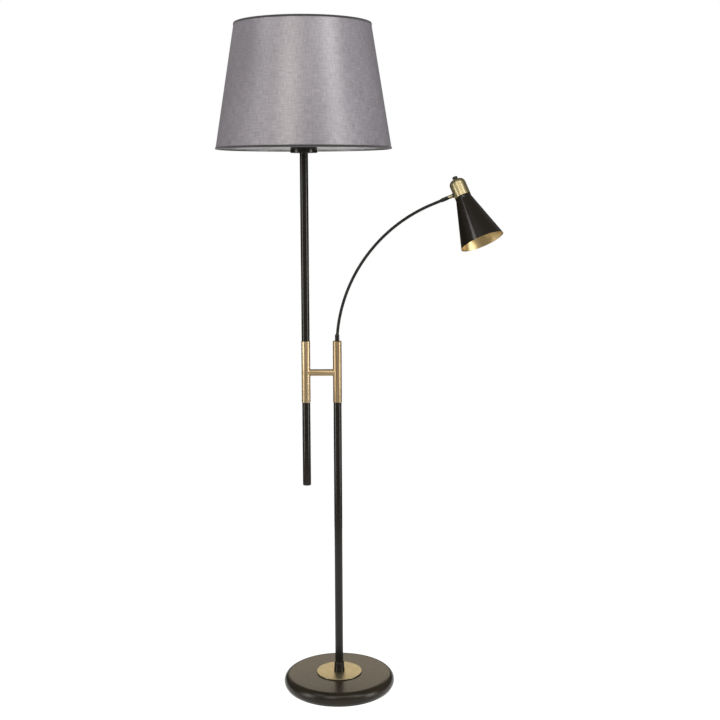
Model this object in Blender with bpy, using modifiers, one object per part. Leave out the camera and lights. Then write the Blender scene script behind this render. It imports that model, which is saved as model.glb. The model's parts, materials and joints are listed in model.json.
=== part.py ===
"""Floor lamp with a tapered fabric shade and a reading spot on a gooseneck.

Two slim poles stand side by side in a brass H coupler. The lower pole rises from a weighted
round base, the upper pole carries the shaded lamp, and a gooseneck grows out of the coupler
to a small cone spot. Metres, +Z up, origin at the centre of the base's underside. +X runs
from the upper pole towards the spot.
"""
import math

import bmesh
import bpy

# ------------------------------------------------------------------ driving dimensions
GAP = 0.0003                    # clearance between pieces that touch or fit

BASE_RADIUS = 0.131
BASE_HEIGHT = 0.033             # crown of the cover above the floor
BASE_SHOULDER = BASE_HEIGHT / 2  # radius of the rolled edge
BASE_CROWN = 0.002              # rise of the crown over the shoulder
BASE_EDGE_ANGLE = 35.0          # degrees that the edge rolls in below its widest line
COVER_WALL = 0.0015
PAD_THICKNESS = 0.0022
WEIGHT_PLATE = 0.018            # thickness of the cast plate
WEIGHT_BOSS_RADIUS = 0.026
WEIGHT_RECESS_RADIUS = 0.020
WEIGHT_RECESS_DEPTH = 0.013
ROSETTE_RADIUS = 0.0535
ROSETTE_THICKNESS = 0.002
COLLAR_HEIGHT = 0.0234
COLLAR_FOOT_WALL = 0.0029
COLLAR_TOP_WALL = 0.0014
GROMMET_BORE = 0.0026
GROMMET_FLANGE = 0.0058
GROMMET_LIP = 0.0012

NIPPLE_RADIUS = 0.005           # M10 lamp pipe
NIPPLE_BORE = 0.0034
LOCK_NUT_FLATS = 0.017
LOCK_NUT_HEIGHT = 0.005
WASHER_RADIUS = 0.014
WASHER_THICKNESS = 0.0015
LEAD_RADIUS = 0.002

POLE_RADIUS = 0.0095
POLE_WALL = 0.0012
POLE_SPACING = 0.073
LOWER_POLE_LENGTH = 0.6516
UPPER_POLE_LENGTH = 0.4317
TAIL_LENGTH = 0.197
BUSH_BORE = 0.0045
BUSH_REACH = 0.026              # how far a bush or joiner enters a tube

SLEEVE_STEP = 0.00075           # sleeve's face proud of the poles'
SLEEVE_WALL = 0.0016
SLEEVE_LENGTH = 0.1435
CROSSBAR_RADIUS = 0.00775
CROSSBAR_WALL = 0.0018
CROSSBAR_DROP = 0.0737          # crossbar's centre line below the sleeves' top
WIRE_HOLE_RADIUS = 0.0038
GRUB_RADIUS = 0.0017
GRUB_RISE = 0.0072              # grub screw above the crossbar's centre line
GRUB_SUNK = 0.0006

CUP_RADIUS = 0.03075
CUP_HEIGHT = 0.0142
CUP_WALL = 0.0018
HOLDER_CAP_RADIUS = 0.022
HOLDER_CAP_HEIGHT = 0.0244
HOLDER_WALL = 0.003
HOLDER_BODY_RADIUS = 0.0198
HOLDER_BODY_HEIGHT = 0.0347
HOLDER_BODY_FLOOR = 0.008
SCREW_SHELL_RADIUS = 0.0146
SCREW_SHELL_WALL = 0.0006
RING_NUT_RADIUS = 0.0285
RING_NUT_HEIGHT = 0.008

BULB_CAP_ROOM = 0.0009          # bulb cap to the screw shell's wall
BULB_CAP_LENGTH = 0.0267
BULB_RADIUS = 0.030
BULB_LENGTH = 0.080
BULB_NECK_RADIUS = 0.0145
GLASS_WALL = 0.0008

SHADE_BOTTOM_RADIUS = 0.200
SHADE_TOP_RADIUS = 0.1545
SHADE_HEIGHT = 0.280
SHADE_WALL = 0.0012
SHADE_RECESS = 0.0185           # fitter ring above the shade's lower edge
FITTER_THICKNESS = 0.002
FITTER_RADIUS = 0.0265
RING_WIRE = 0.0013
SPOKE_WIRE = 0.0013
SPOKE_COUNT = 3
TRIM_WALL = 0.0006
TRIM_WIDTH = 0.0045

NECK_RADIUS = 0.0036
NECK_BORE = 0.0020
NECK_LENGTH = 0.41
NECK_LINKS = 10
NECK_FIRST_LEAN = 8.25          # degrees from vertical, first link at rest
NECK_LAST_LEAN = 67.7           # degrees from vertical, last link at rest
LINK_GAP = 0.0018
LOWER_FERRULE_RADIUS = 0.00525
LOWER_FERRULE_HEIGHT = 0.0152
UPPER_FERRULE_RADIUS = 0.0046
UPPER_FERRULE_LENGTH = 0.019
SWIVEL_RADIUS = 0.0045
SWIVEL_LENGTH = 0.0097
SWIVEL_SPIGOT = 0.0035
SWIVEL_WASHER_RADIUS = 0.0054
SWIVEL_WASHER_THICKNESS = 0.0018
SWIVEL_NUT_RADIUS = 0.0058
SWIVEL_NUT_THICKNESS = 0.0022

HEAD_TURN = -18.0               # degrees about the arm, the mouth turned to the front
HEAD_RADIUS = 0.019
HEAD_WALL = 0.0012
HEAD_TOP = 0.0325               # dome above the arm's axis
HEAD_SKIRT = 0.0105             # skirt below the arm's axis
HEAD_FLAT_RADIUS = 0.0065       # flat on the dome's top, under the switch's nut
SPOT_NECK_STEP = 0.00025        # cone's neck inside the head cap's face
SPOT_NECK_HEIGHT = 0.0047
SPOT_MOUTH_RADIUS = 0.0512
SPOT_LENGTH = 0.1147
SPOT_WALL = 0.0008
SPOT_HOLDER_ROOM = 0.007        # lampholder to the head cap's face, for the swivel's nut
SPOT_HOLDER_TOP = 0.0095
SPOT_HOLDER_LENGTH = 0.0385
SPOT_SHOULDER = 0.0025
SPOT_RING_ROOM = 0.00075        # ring nut to the cone's inner wall
SPOT_RING_HEIGHT = 0.0032
SPOT_BULB_CAP_RADIUS = 0.0068
SPOT_BULB_CAP_LENGTH = 0.022
SPOT_BULB_RADIUS = 0.0225
SPOT_BULB_LENGTH = 0.052
SPOT_BULB_NECK = 0.0085
SWITCH_RADIUS = 0.0085
SWITCH_HEIGHT = 0.016
SWITCH_BUSHING = 0.0034
SWITCH_NUT_RADIUS = 0.0048
SWITCH_NUT_HEIGHT = 0.0014
KNOB_RADIUS = 0.0062
KNOB_HEIGHT = 0.0056
KNOB_SHAFT = 0.0014

ROUND_LARGE = 40                # steps round a full turn
ROUND_MEDIUM = 24
ROUND_SMALL = 16
ROUND_TINY = 12

# ------------------------------------------------------------------ sizes that follow
ROSETTE_Z = BASE_HEIGHT + GAP
POLE_FOOT_Z = ROSETTE_Z + ROSETTE_THICKNESS + GAP
SLEEVE_BOTTOM_Z = POLE_FOOT_Z + LOWER_POLE_LENGTH + GAP
SLEEVE_TOP_Z = SLEEVE_BOTTOM_Z + SLEEVE_LENGTH
CROSSBAR_Z = SLEEVE_TOP_Z - CROSSBAR_DROP
UPPER_POLE_Z = SLEEVE_TOP_Z + GAP
UPPER_POLE_TOP_Z = UPPER_POLE_Z + UPPER_POLE_LENGTH
CUP_Z = UPPER_POLE_TOP_Z + GAP
HOLDER_CAP_Z = CUP_Z + CUP_WALL + GAP
HOLDER_BODY_Z = HOLDER_CAP_Z + HOLDER_CAP_HEIGHT + GAP
RING_NUT_Z = HOLDER_BODY_Z + FITTER_THICKNESS + GAP
SHADE_Z = HOLDER_BODY_Z - SHADE_RECESS
MAIN_BULB_Z = HOLDER_BODY_Z + HOLDER_BODY_FLOOR + GAP
BUSH_RADIUS = POLE_RADIUS - POLE_WALL - GAP
SLEEVE_RADIUS = POLE_RADIUS + SLEEVE_STEP
COLLAR_BORE = POLE_RADIUS + GAP
BULB_CAP_RADIUS = SCREW_SHELL_RADIUS - SCREW_SHELL_WALL - BULB_CAP_ROOM
HEAD_SHOULDER = HEAD_RADIUS - HEAD_FLAT_RADIUS
SPOT_NECK_RADIUS = HEAD_RADIUS - SPOT_NECK_STEP
SPOT_RING_RADIUS = SPOT_NECK_RADIUS - SPOT_WALL - SPOT_RING_ROOM
UPPER_X = -POLE_SPACING

SHADE_SLOPE = math.atan2(SHADE_BOTTOM_RADIUS - SHADE_TOP_RADIUS, SHADE_HEIGHT)
SHADE_SLANT = math.hypot(SHADE_BOTTOM_RADIUS - SHADE_TOP_RADIUS, SHADE_HEIGHT)


# ------------------------------------------------------------------ scene and materials
def clear_scene():
    for item in list(bpy.data.objects):
        bpy.data.objects.remove(item, do_unlink=True)


def collection(name):
    made = bpy.data.collections.new(name)
    bpy.context.scene.collection.children.link(made)
    return made


clear_scene()
LAMP = collection("floor_lamp")
CUTTERS = collection("cutters")


def paint(item, colour, roughness, metallic):
    material = bpy.data.materials.new(item.name)
    material.use_nodes = True
    shader = material.node_tree.nodes["Principled BSDF"]
    shader.inputs["Base Color"].default_value = (*colour, 1.0)
    shader.inputs["Roughness"].default_value = roughness
    shader.inputs["Metallic"].default_value = metallic
    item.data.materials.append(material)


FINISHES = {
    "black_paint": ((0.012, 0.011, 0.009), 0.40, 0.0),
    "brass": ((0.50, 0.36, 0.19), 0.34, 1.0),
    "steel": ((0.55, 0.55, 0.54), 0.40, 1.0),
    "iron": ((0.10, 0.10, 0.10), 0.70, 1.0),
    "rubber": ((0.02, 0.02, 0.02), 0.85, 0.0),
    "felt": ((0.03, 0.03, 0.03), 0.95, 0.0),
    "bakelite": ((0.015, 0.014, 0.013), 0.45, 0.0),
    "fabric": ((0.26, 0.24, 0.26), 0.95, 0.0),
    "trim": ((0.06, 0.055, 0.055), 0.90, 0.0),
    "glass": ((0.90, 0.90, 0.88), 0.25, 0.0),
    "lead": ((0.03, 0.03, 0.03), 0.60, 0.0),
}


# ------------------------------------------------------------------ modelling helpers
def add_object(name, mesh, finish, parent=None, location=(0, 0, 0), rotation=(0, 0, 0)):
    item = bpy.data.objects.new(name, mesh)
    LAMP.objects.link(item)
    item.location = location
    item.rotation_euler = rotation
    item.parent = parent
    paint(item, *FINISHES[finish])
    return item


def screw_mesh(name, profile, closed):
    """An edge outline in the XZ plane, outer side running top to bottom."""
    count = len(profile)
    edges = [(index, index + 1) for index in range(count - 1)]
    if closed:
        edges.append((count - 1, 0))
    mesh = bpy.data.meshes.new(name)
    mesh.from_pydata([(radius, 0, height) for radius, height in profile], edges, [])
    return mesh


def add_screw(item, steps):
    screw = item.modifiers.new("turn", "SCREW")
    screw.axis = "Z"
    screw.angle = math.tau
    screw.steps = steps
    screw.render_steps = steps
    screw.use_merge_vertices = True
    screw.merge_threshold = 0.00001
    screw.use_smooth_shade = True


def turned(name, profile, finish, steps=ROUND_SMALL, closed=True, wall=0.0, **place):
    """A turned piece. An open outline gets a wall on its inner side."""
    item = add_object(name, screw_mesh(name, profile, closed), finish, **place)
    add_screw(item, steps)
    if wall:
        shell = item.modifiers.new("wall", "SOLIDIFY")
        shell.thickness = wall
        shell.offset = -1.0
        shell.use_even_offset = True
    return item


def ring(inner, outer, bottom, top, chamfer=0.0):
    """Outline of a tube or washer, its outer corners chamfered."""
    if not chamfer:
        return [(outer, top), (outer, bottom), (inner, bottom), (inner, top)]
    return [
        (outer - chamfer, top),
        (outer, top - chamfer),
        (outer, bottom + chamfer),
        (outer - chamfer, bottom),
        (inner, bottom),
        (inner, top),
    ]


def arc(centre, radius, start, end, steps):
    """Points on an arc from start to end degrees, measured from +X towards +Z."""
    points = []
    for index in range(steps + 1):
        angle = math.radians(start + (end - start) * index / steps)
        points.append((centre[0] + radius * math.cos(angle), centre[1] + radius * math.sin(angle)))
    return points


def cylinder_mesh(name, radius, depth, segments):
    mesh = bpy.data.meshes.new(name)
    work = bmesh.new()
    bmesh.ops.create_cone(
        work, cap_ends=True, segments=segments, radius1=radius, radius2=radius, depth=depth)
    work.to_mesh(mesh)
    work.free()
    return mesh


def box_mesh(name, size):
    mesh = bpy.data.meshes.new(name)
    work = bmesh.new()
    bmesh.ops.create_cube(work, size=1.0)
    bmesh.ops.scale(work, vec=size, verts=work.verts)
    work.to_mesh(mesh)
    work.free()
    return mesh


def add_boolean(item, other, operation):
    other.hide_render = True
    other.display_type = "WIRE"
    boolean = item.modifiers.new(operation.lower(), "BOOLEAN")
    boolean.operation = operation
    boolean.solver = "EXACT"
    boolean.object = other


def cut(item, mesh, parent=None, location=(0, 0, 0), rotation=(0, 0, 0)):
    cutter = bpy.data.objects.new(item.name + "_cutter", mesh)
    CUTTERS.objects.link(cutter)
    cutter.parent = parent
    cutter.location = location
    cutter.rotation_euler = rotation
    add_boolean(item, cutter, "DIFFERENCE")


def empty(name, parent=None, location=(0, 0, 0), rotation=(0, 0, 0)):
    item = bpy.data.objects.new(name, None)
    LAMP.objects.link(item)
    item.parent = parent
    item.location = location
    item.rotation_euler = rotation
    return item


def wire_mesh(name, points, radius, resolution):
    """A round wire with welded caps, made as a curve and kept as a mesh."""
    curve = bpy.data.curves.new(name, "CURVE")
    curve.dimensions = "3D"
    curve.bevel_depth = radius
    curve.bevel_resolution = resolution
    curve.use_fill_caps = True
    spline = curve.splines.new("POLY")
    spline.points.add(len(points) - 1)
    for target, point in zip(spline.points, points):
        target.co = (*point, 1.0)
    guide = bpy.data.objects.new(name + "_curve", curve)
    LAMP.objects.link(guide)
    evaluated = guide.evaluated_get(bpy.context.evaluated_depsgraph_get())
    mesh = bpy.data.meshes.new_from_object(evaluated)
    bpy.data.objects.remove(guide, do_unlink=True)
    work = bmesh.new()
    work.from_mesh(mesh)
    bmesh.ops.remove_doubles(work, verts=work.verts, dist=0.00001)
    work.to_mesh(mesh)
    work.free()
    mesh.shade_smooth()
    return mesh


QUARTER = math.pi / 2


# ------------------------------------------------------------------ base
SHOULDER_CENTRE = (BASE_RADIUS - BASE_SHOULDER, BASE_HEIGHT - BASE_CROWN - BASE_SHOULDER)
RECESS_TOP_Z = PAD_THICKNESS + GAP + WEIGHT_RECESS_DEPTH
WASHER_Z = RECESS_TOP_Z - GAP - WASHER_THICKNESS
LOCK_NUT_Z = WASHER_Z - GAP - LOCK_NUT_HEIGHT
NIPPLE_Z = LOCK_NUT_Z - GAP
GROMMET_Z = SHOULDER_CENTRE[1]
PLATE_RADIUS = SHOULDER_CENTRE[0] - COVER_WALL


def crown_outline():
    """Cover's outer face: a gentle crown, then the rolled edge down to the floor pad."""
    steps = 4
    points = []
    start = NIPPLE_RADIUS + GAP
    for index in range(steps):
        radius = start + (SHOULDER_CENTRE[0] - start) * index / steps
        points.append((radius, BASE_HEIGHT - BASE_CROWN * (radius / SHOULDER_CENTRE[0]) ** 2))
    points += arc(SHOULDER_CENTRE, BASE_SHOULDER, 90, -BASE_EDGE_ANGLE, 7)
    points.append((points[-1][0] - COVER_WALL, PAD_THICKNESS + GAP))
    return points


def make_base():
    cover = turned(
        "base_cover", crown_outline(), "black_paint", ROUND_LARGE, closed=False, wall=COVER_WALL)
    inlet = cylinder_mesh("inlet", GROMMET_FLANGE - 4 * GAP, 4 * BASE_SHOULDER, ROUND_SMALL)
    cut(cover, inlet, location=(0, BASE_RADIUS, GROMMET_Z), rotation=(QUARTER, 0, 0))

    boss_top = BASE_HEIGHT - COVER_WALL - 2 * GAP
    boss_slope = BASE_CROWN * (WEIGHT_BOSS_RADIUS / SHOULDER_CENTRE[0]) ** 2
    plate_bottom = PAD_THICKNESS + GAP
    outline = [
        (NIPPLE_RADIUS + GAP, boss_top - boss_slope),
        (WEIGHT_BOSS_RADIUS, boss_top - boss_slope),
        (WEIGHT_BOSS_RADIUS, plate_bottom + WEIGHT_PLATE),
        (PLATE_RADIUS, plate_bottom + WEIGHT_PLATE),
        (PLATE_RADIUS, plate_bottom),
        (WEIGHT_RECESS_RADIUS, plate_bottom),
        (WEIGHT_RECESS_RADIUS, RECESS_TOP_Z),
        (NIPPLE_RADIUS + GAP, RECESS_TOP_Z),
    ]
    weight = turned("base_weight", outline, "iron", ROUND_MEDIUM)
    groove_width = 4 * LEAD_RADIUS
    groove = box_mesh("groove", (groove_width, BASE_RADIUS, 2 * groove_width))
    cut(weight, groove, location=(0, WEIGHT_RECESS_RADIUS / 2 + BASE_RADIUS / 2, plate_bottom))

    pad_radius = crown_outline()[-1][0] - 2 * COVER_WALL
    pad = [(0, PAD_THICKNESS), (pad_radius, PAD_THICKNESS), (pad_radius, 0), (0, 0)]
    turned("base_pad", pad, "felt", ROUND_LARGE, closed=False)

    rosette = ring(NIPPLE_RADIUS + GAP, ROSETTE_RADIUS, ROSETTE_Z, ROSETTE_Z + ROSETTE_THICKNESS,
                   chamfer=ROSETTE_THICKNESS / 4)
    turned("base_rosette", rosette, "brass", ROUND_LARGE)

    collar = [
        (COLLAR_BORE + COLLAR_TOP_WALL, POLE_FOOT_Z + COLLAR_HEIGHT),
        (COLLAR_BORE + COLLAR_FOOT_WALL, POLE_FOOT_Z + COLLAR_HEIGHT / 6),
        (COLLAR_BORE + COLLAR_FOOT_WALL, POLE_FOOT_Z),
        (COLLAR_BORE, POLE_FOOT_Z),
        (COLLAR_BORE, POLE_FOOT_Z + COLLAR_HEIGHT),
    ]
    turned("pole_collar", collar, "black_paint", ROUND_SMALL)

    nipple = ring(NIPPLE_BORE, NIPPLE_RADIUS, NIPPLE_Z, POLE_FOOT_Z + BUSH_REACH - GAP)
    turned("base_nipple", nipple, "steel", ROUND_TINY)
    washer = ring(NIPPLE_RADIUS + GAP, WASHER_RADIUS, WASHER_Z, WASHER_Z + WASHER_THICKNESS)
    turned("base_washer", washer, "steel", ROUND_SMALL)

    across_corners = LOCK_NUT_FLATS / math.cos(math.pi / 6)
    nut_mesh = cylinder_mesh("base_lock_nut", across_corners / 2, LOCK_NUT_HEIGHT, 6)
    nut = add_object("base_lock_nut", nut_mesh, "steel",
                     location=(0, 0, LOCK_NUT_Z + LOCK_NUT_HEIGHT / 2))
    bore = cylinder_mesh("nut_bore", NIPPLE_RADIUS + GAP, 3 * LOCK_NUT_HEIGHT, ROUND_TINY)
    cut(nut, bore, location=(0, 0, LOCK_NUT_Z + LOCK_NUT_HEIGHT / 2))

    hole = GROMMET_FLANGE - 5 * GAP
    fall_back = BASE_SHOULDER - math.sqrt(BASE_SHOULDER ** 2 - GROMMET_FLANGE ** 2)
    inner_face = -COVER_WALL - fall_back - 3 * GAP
    lip = GROMMET_LIP
    grommet = [
        (GROMMET_FLANGE, GAP + lip),
        (GROMMET_FLANGE, GAP),
        (hole, GAP),
        (hole, inner_face),
        (GROMMET_FLANGE, inner_face),
        (GROMMET_FLANGE, inner_face - lip),
        (GROMMET_BORE, inner_face - lip),
        (GROMMET_BORE, GAP + lip),
    ]
    turned("cord_grommet", grommet, "rubber", ROUND_SMALL,
           location=(0, BASE_RADIUS, GROMMET_Z), rotation=(-QUARTER, 0, 0))


# ------------------------------------------------------------------ poles and coupler
def make_poles():
    inner = POLE_RADIUS - POLE_WALL
    lower_top = POLE_FOOT_Z + LOWER_POLE_LENGTH
    turned("lower_pole", ring(inner, POLE_RADIUS, POLE_FOOT_Z, lower_top), "black_paint",
           ROUND_MEDIUM)
    foot = ring(NIPPLE_RADIUS + GAP, BUSH_RADIUS, POLE_FOOT_Z + GAP, POLE_FOOT_Z + BUSH_REACH)
    turned("pole_foot_bush", foot, "steel", ROUND_SMALL)
    turned("upper_pole", ring(inner, POLE_RADIUS, UPPER_POLE_Z, UPPER_POLE_TOP_Z),
           "black_paint", ROUND_MEDIUM, location=(UPPER_X, 0, 0))

    tail_top = SLEEVE_BOTTOM_Z - GAP
    tail_bottom = tail_top - TAIL_LENGTH
    plug_lip = 0.003
    turned("tail_tube", ring(inner, POLE_RADIUS, tail_bottom + plug_lip + GAP, tail_top),
           "black_paint", ROUND_MEDIUM, location=(UPPER_X, 0, 0))
    edge = plug_lip / 2
    plug = [(0, tail_bottom + plug_lip + BUSH_REACH / 2),
            (BUSH_RADIUS, tail_bottom + plug_lip + BUSH_REACH / 2),
            (BUSH_RADIUS, tail_bottom + plug_lip),
            (POLE_RADIUS, tail_bottom + plug_lip)]
    plug += arc((POLE_RADIUS - edge, tail_bottom + edge), edge, 0, -90, 3)
    plug.append((0, tail_bottom))
    turned("tail_end_plug", plug, "rubber", ROUND_MEDIUM, closed=False,
           location=(UPPER_X, 0, 0))


def make_coupler():
    inner = SLEEVE_RADIUS - SLEEVE_WALL
    chamfer = SLEEVE_WALL / 4
    outline = ring(inner, SLEEVE_RADIUS, SLEEVE_BOTTOM_Z, SLEEVE_TOP_Z, chamfer)
    left = turned("left_sleeve", outline, "brass", ROUND_MEDIUM, location=(UPPER_X, 0, 0))
    right = turned("right_sleeve", outline, "brass", ROUND_MEDIUM)
    core_outline = ring(BUSH_BORE, BUSH_RADIUS, SLEEVE_BOTTOM_Z - BUSH_REACH,
                        SLEEVE_TOP_Z - GAP)
    core = turned("coupler_core", core_outline, "steel", ROUND_SMALL)

    wire_hole = cylinder_mesh("wire_hole", WIRE_HOLE_RADIUS, 2 * SLEEVE_RADIUS, ROUND_TINY)
    sideways = (0, QUARTER, 0)
    cut(left, wire_hole, location=(UPPER_X + SLEEVE_RADIUS, 0, CROSSBAR_Z), rotation=sideways)
    cut(right, wire_hole, location=(-SLEEVE_RADIUS, 0, CROSSBAR_Z), rotation=sideways)
    cut(core, wire_hole, location=(-SLEEVE_RADIUS, 0, CROSSBAR_Z), rotation=sideways)

    grub_z = CROSSBAR_Z + GRUB_RISE
    grub_hole = cylinder_mesh("grub_hole", GRUB_RADIUS + GAP, 2 * SLEEVE_RADIUS, ROUND_TINY)
    cut(right, grub_hole, location=(SLEEVE_RADIUS + GAP, 0, grub_z), rotation=sideways)
    cut(core, grub_hole, location=(SLEEVE_RADIUS + GAP, 0, grub_z), rotation=sideways)
    grub_end = SLEEVE_RADIUS - GRUB_SUNK
    grub_length = grub_end - BUSH_BORE - GAP
    grub_mesh = cylinder_mesh("sleeve_grub_screw", GRUB_RADIUS, grub_length, ROUND_TINY)
    grub = add_object("sleeve_grub_screw", grub_mesh, "steel", rotation=sideways,
                      location=(grub_end - grub_length / 2, 0, grub_z))
    socket = cylinder_mesh("socket", GRUB_RADIUS / 2, grub_length / 2, 6)
    cut(grub, socket, location=(grub_end, 0, grub_z), rotation=sideways)

    bar_mesh = cylinder_mesh("crossbar", CROSSBAR_RADIUS, POLE_SPACING, ROUND_MEDIUM)
    bar = add_object("crossbar", bar_mesh, "brass", rotation=sideways,
                     location=(UPPER_X / 2, 0, CROSSBAR_Z))
    bore = cylinder_mesh("bar_bore", CROSSBAR_RADIUS - CROSSBAR_WALL, 2 * POLE_SPACING,
                         ROUND_SMALL)
    cut(bar, bore, location=(UPPER_X / 2, 0, CROSSBAR_Z), rotation=sideways)
    cope = cylinder_mesh("cope", SLEEVE_RADIUS + GAP, 4 * CROSSBAR_RADIUS, ROUND_MEDIUM)
    for pole_x in (0, UPPER_X):
        cut(bar, cope, location=(pole_x, 0, CROSSBAR_Z))

    joiner = ring(BUSH_BORE, BUSH_RADIUS, -BUSH_REACH, BUSH_REACH)
    turned("upper_joiner", joiner, "steel", ROUND_SMALL, location=(UPPER_X, 0, SLEEVE_TOP_Z))
    turned("tail_joiner", joiner, "steel", ROUND_SMALL,
           location=(UPPER_X, 0, SLEEVE_BOTTOM_Z))


# ------------------------------------------------------------------ upper lampholder and bulb
def bulb_outline(neck_radius, globe_radius, length):
    """Glass from its open neck, at height 0, over a round globe."""
    centre = length - globe_radius
    lean = 40.0
    shoulder = (globe_radius * math.cos(math.radians(-lean)),
                centre - globe_radius * math.sin(math.radians(lean)))
    points = arc((0, centre), globe_radius, 90, -lean, 7)
    middle = ((shoulder[0] + neck_radius) / 2 - globe_radius / 30, shoulder[1] / 2)
    points += [middle, (neck_radius, 0)]
    return points


def make_main_lamp():
    place = {"location": (UPPER_X, 0, 0)}
    stud_top = HOLDER_CAP_Z + HOLDER_CAP_HEIGHT
    stud = [
        (NIPPLE_RADIUS, stud_top),
        (NIPPLE_RADIUS, UPPER_POLE_TOP_Z),
        (BUSH_RADIUS, UPPER_POLE_TOP_Z),
        (BUSH_RADIUS, UPPER_POLE_TOP_Z - BUSH_REACH),
        (NIPPLE_BORE, UPPER_POLE_TOP_Z - BUSH_REACH),
        (NIPPLE_BORE, stud_top),
    ]
    turned("holder_stud", stud, "steel", ROUND_SMALL, **place)

    edge = CUP_WALL
    cup = [(CUP_RADIUS, CUP_Z + CUP_HEIGHT)]
    cup += arc((CUP_RADIUS - edge, CUP_Z + edge), edge, 0, -90, 3)
    cup += [
        (NIPPLE_RADIUS + GAP, CUP_Z),
        (NIPPLE_RADIUS + GAP, CUP_Z + CUP_WALL),
        (CUP_RADIUS - CUP_WALL, CUP_Z + CUP_WALL),
        (CUP_RADIUS - CUP_WALL, CUP_Z + CUP_HEIGHT),
    ]
    turned("holder_cup", cup, "black_paint", ROUND_MEDIUM, **place)

    cap_top = HOLDER_CAP_Z + HOLDER_CAP_HEIGHT
    cap = [
        (HOLDER_CAP_RADIUS, cap_top),
        (HOLDER_CAP_RADIUS, HOLDER_CAP_Z + HOLDER_WALL),
        (HOLDER_CAP_RADIUS - HOLDER_WALL, HOLDER_CAP_Z),
        (NIPPLE_RADIUS + GAP, HOLDER_CAP_Z),
        (NIPPLE_RADIUS + GAP, HOLDER_CAP_Z + HOLDER_WALL),
        (HOLDER_CAP_RADIUS - HOLDER_WALL, HOLDER_CAP_Z + HOLDER_WALL),
        (HOLDER_CAP_RADIUS - HOLDER_WALL, cap_top),
    ]
    turned("holder_cap", cap, "bakelite", ROUND_SMALL, **place)

    body_top = HOLDER_BODY_Z + HOLDER_BODY_HEIGHT
    floor_top = HOLDER_BODY_Z + HOLDER_BODY_FLOOR
    cavity = SCREW_SHELL_RADIUS + GAP
    body = [
        (HOLDER_BODY_RADIUS, body_top),
        (HOLDER_BODY_RADIUS, HOLDER_BODY_Z),
        (LEAD_RADIUS, HOLDER_BODY_Z),
        (LEAD_RADIUS, floor_top),
        (cavity, floor_top),
        (cavity, body_top),
    ]
    turned("holder_body", body, "bakelite", ROUND_SMALL, **place)
    shell = ring(SCREW_SHELL_RADIUS - SCREW_SHELL_WALL, SCREW_SHELL_RADIUS,
                 floor_top + GAP, body_top - GAP)
    turned("holder_screw_shell", shell, "brass", ROUND_SMALL, **place)
    nut = ring(HOLDER_BODY_RADIUS + GAP, RING_NUT_RADIUS, RING_NUT_Z,
               RING_NUT_Z + RING_NUT_HEIGHT, chamfer=RING_NUT_HEIGHT / 8)
    turned("shade_ring_nut", nut, "bakelite", ROUND_SMALL, **place)

    cap_end = MAIN_BULB_Z + BULB_CAP_LENGTH
    bulb_cap = [
        (0, cap_end),
        (BULB_CAP_RADIUS, cap_end),
        (BULB_CAP_RADIUS, MAIN_BULB_Z + BULB_CAP_LENGTH / 6),
        (BULB_CAP_RADIUS / 3, MAIN_BULB_Z),
        (0, MAIN_BULB_Z),
    ]
    turned("main_bulb_cap", bulb_cap, "steel", ROUND_SMALL, closed=False, **place)
    turned("main_bulb_glass", bulb_outline(BULB_NECK_RADIUS, BULB_RADIUS, BULB_LENGTH),
           "glass", ROUND_SMALL, closed=False, wall=GLASS_WALL,
           location=(UPPER_X, 0, max(cap_end, body_top) + GAP))


# ------------------------------------------------------------------ fabric shade
def wall_point(along, outward):
    """A point in the shade's section, along its slant from the lower edge."""
    radius = SHADE_BOTTOM_RADIUS - along * math.sin(SHADE_SLOPE)
    height = SHADE_Z + along * math.cos(SHADE_SLOPE)
    return (radius + outward * math.cos(SHADE_SLOPE), height + outward * math.sin(SHADE_SLOPE))


RING_DEPTH = SHADE_WALL + GAP + RING_WIRE       # wire centre behind the fabric's face
RING_INSET = TRIM_WALL + GAP + RING_WIRE        # wire centre from the shade's edge


def ring_section(along):
    centre = wall_point(along, -RING_DEPTH)
    return arc(centre, RING_WIRE, 90, -210, 5)


def trim_section(edge, direction):
    """An L of tape round one rim: over the fabric's face and across the wire ring."""
    reach = -RING_DEPTH - RING_WIRE - GAP
    start = edge + direction * TRIM_WIDTH
    web = edge + direction * TRIM_WALL
    outline = [
        wall_point(start, GAP + TRIM_WALL),
        wall_point(edge, GAP + TRIM_WALL),
        wall_point(edge, reach),
        wall_point(web, reach),
        wall_point(web, GAP),
        wall_point(start, GAP),
    ]
    return outline if direction > 0 else list(reversed(outline))


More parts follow.
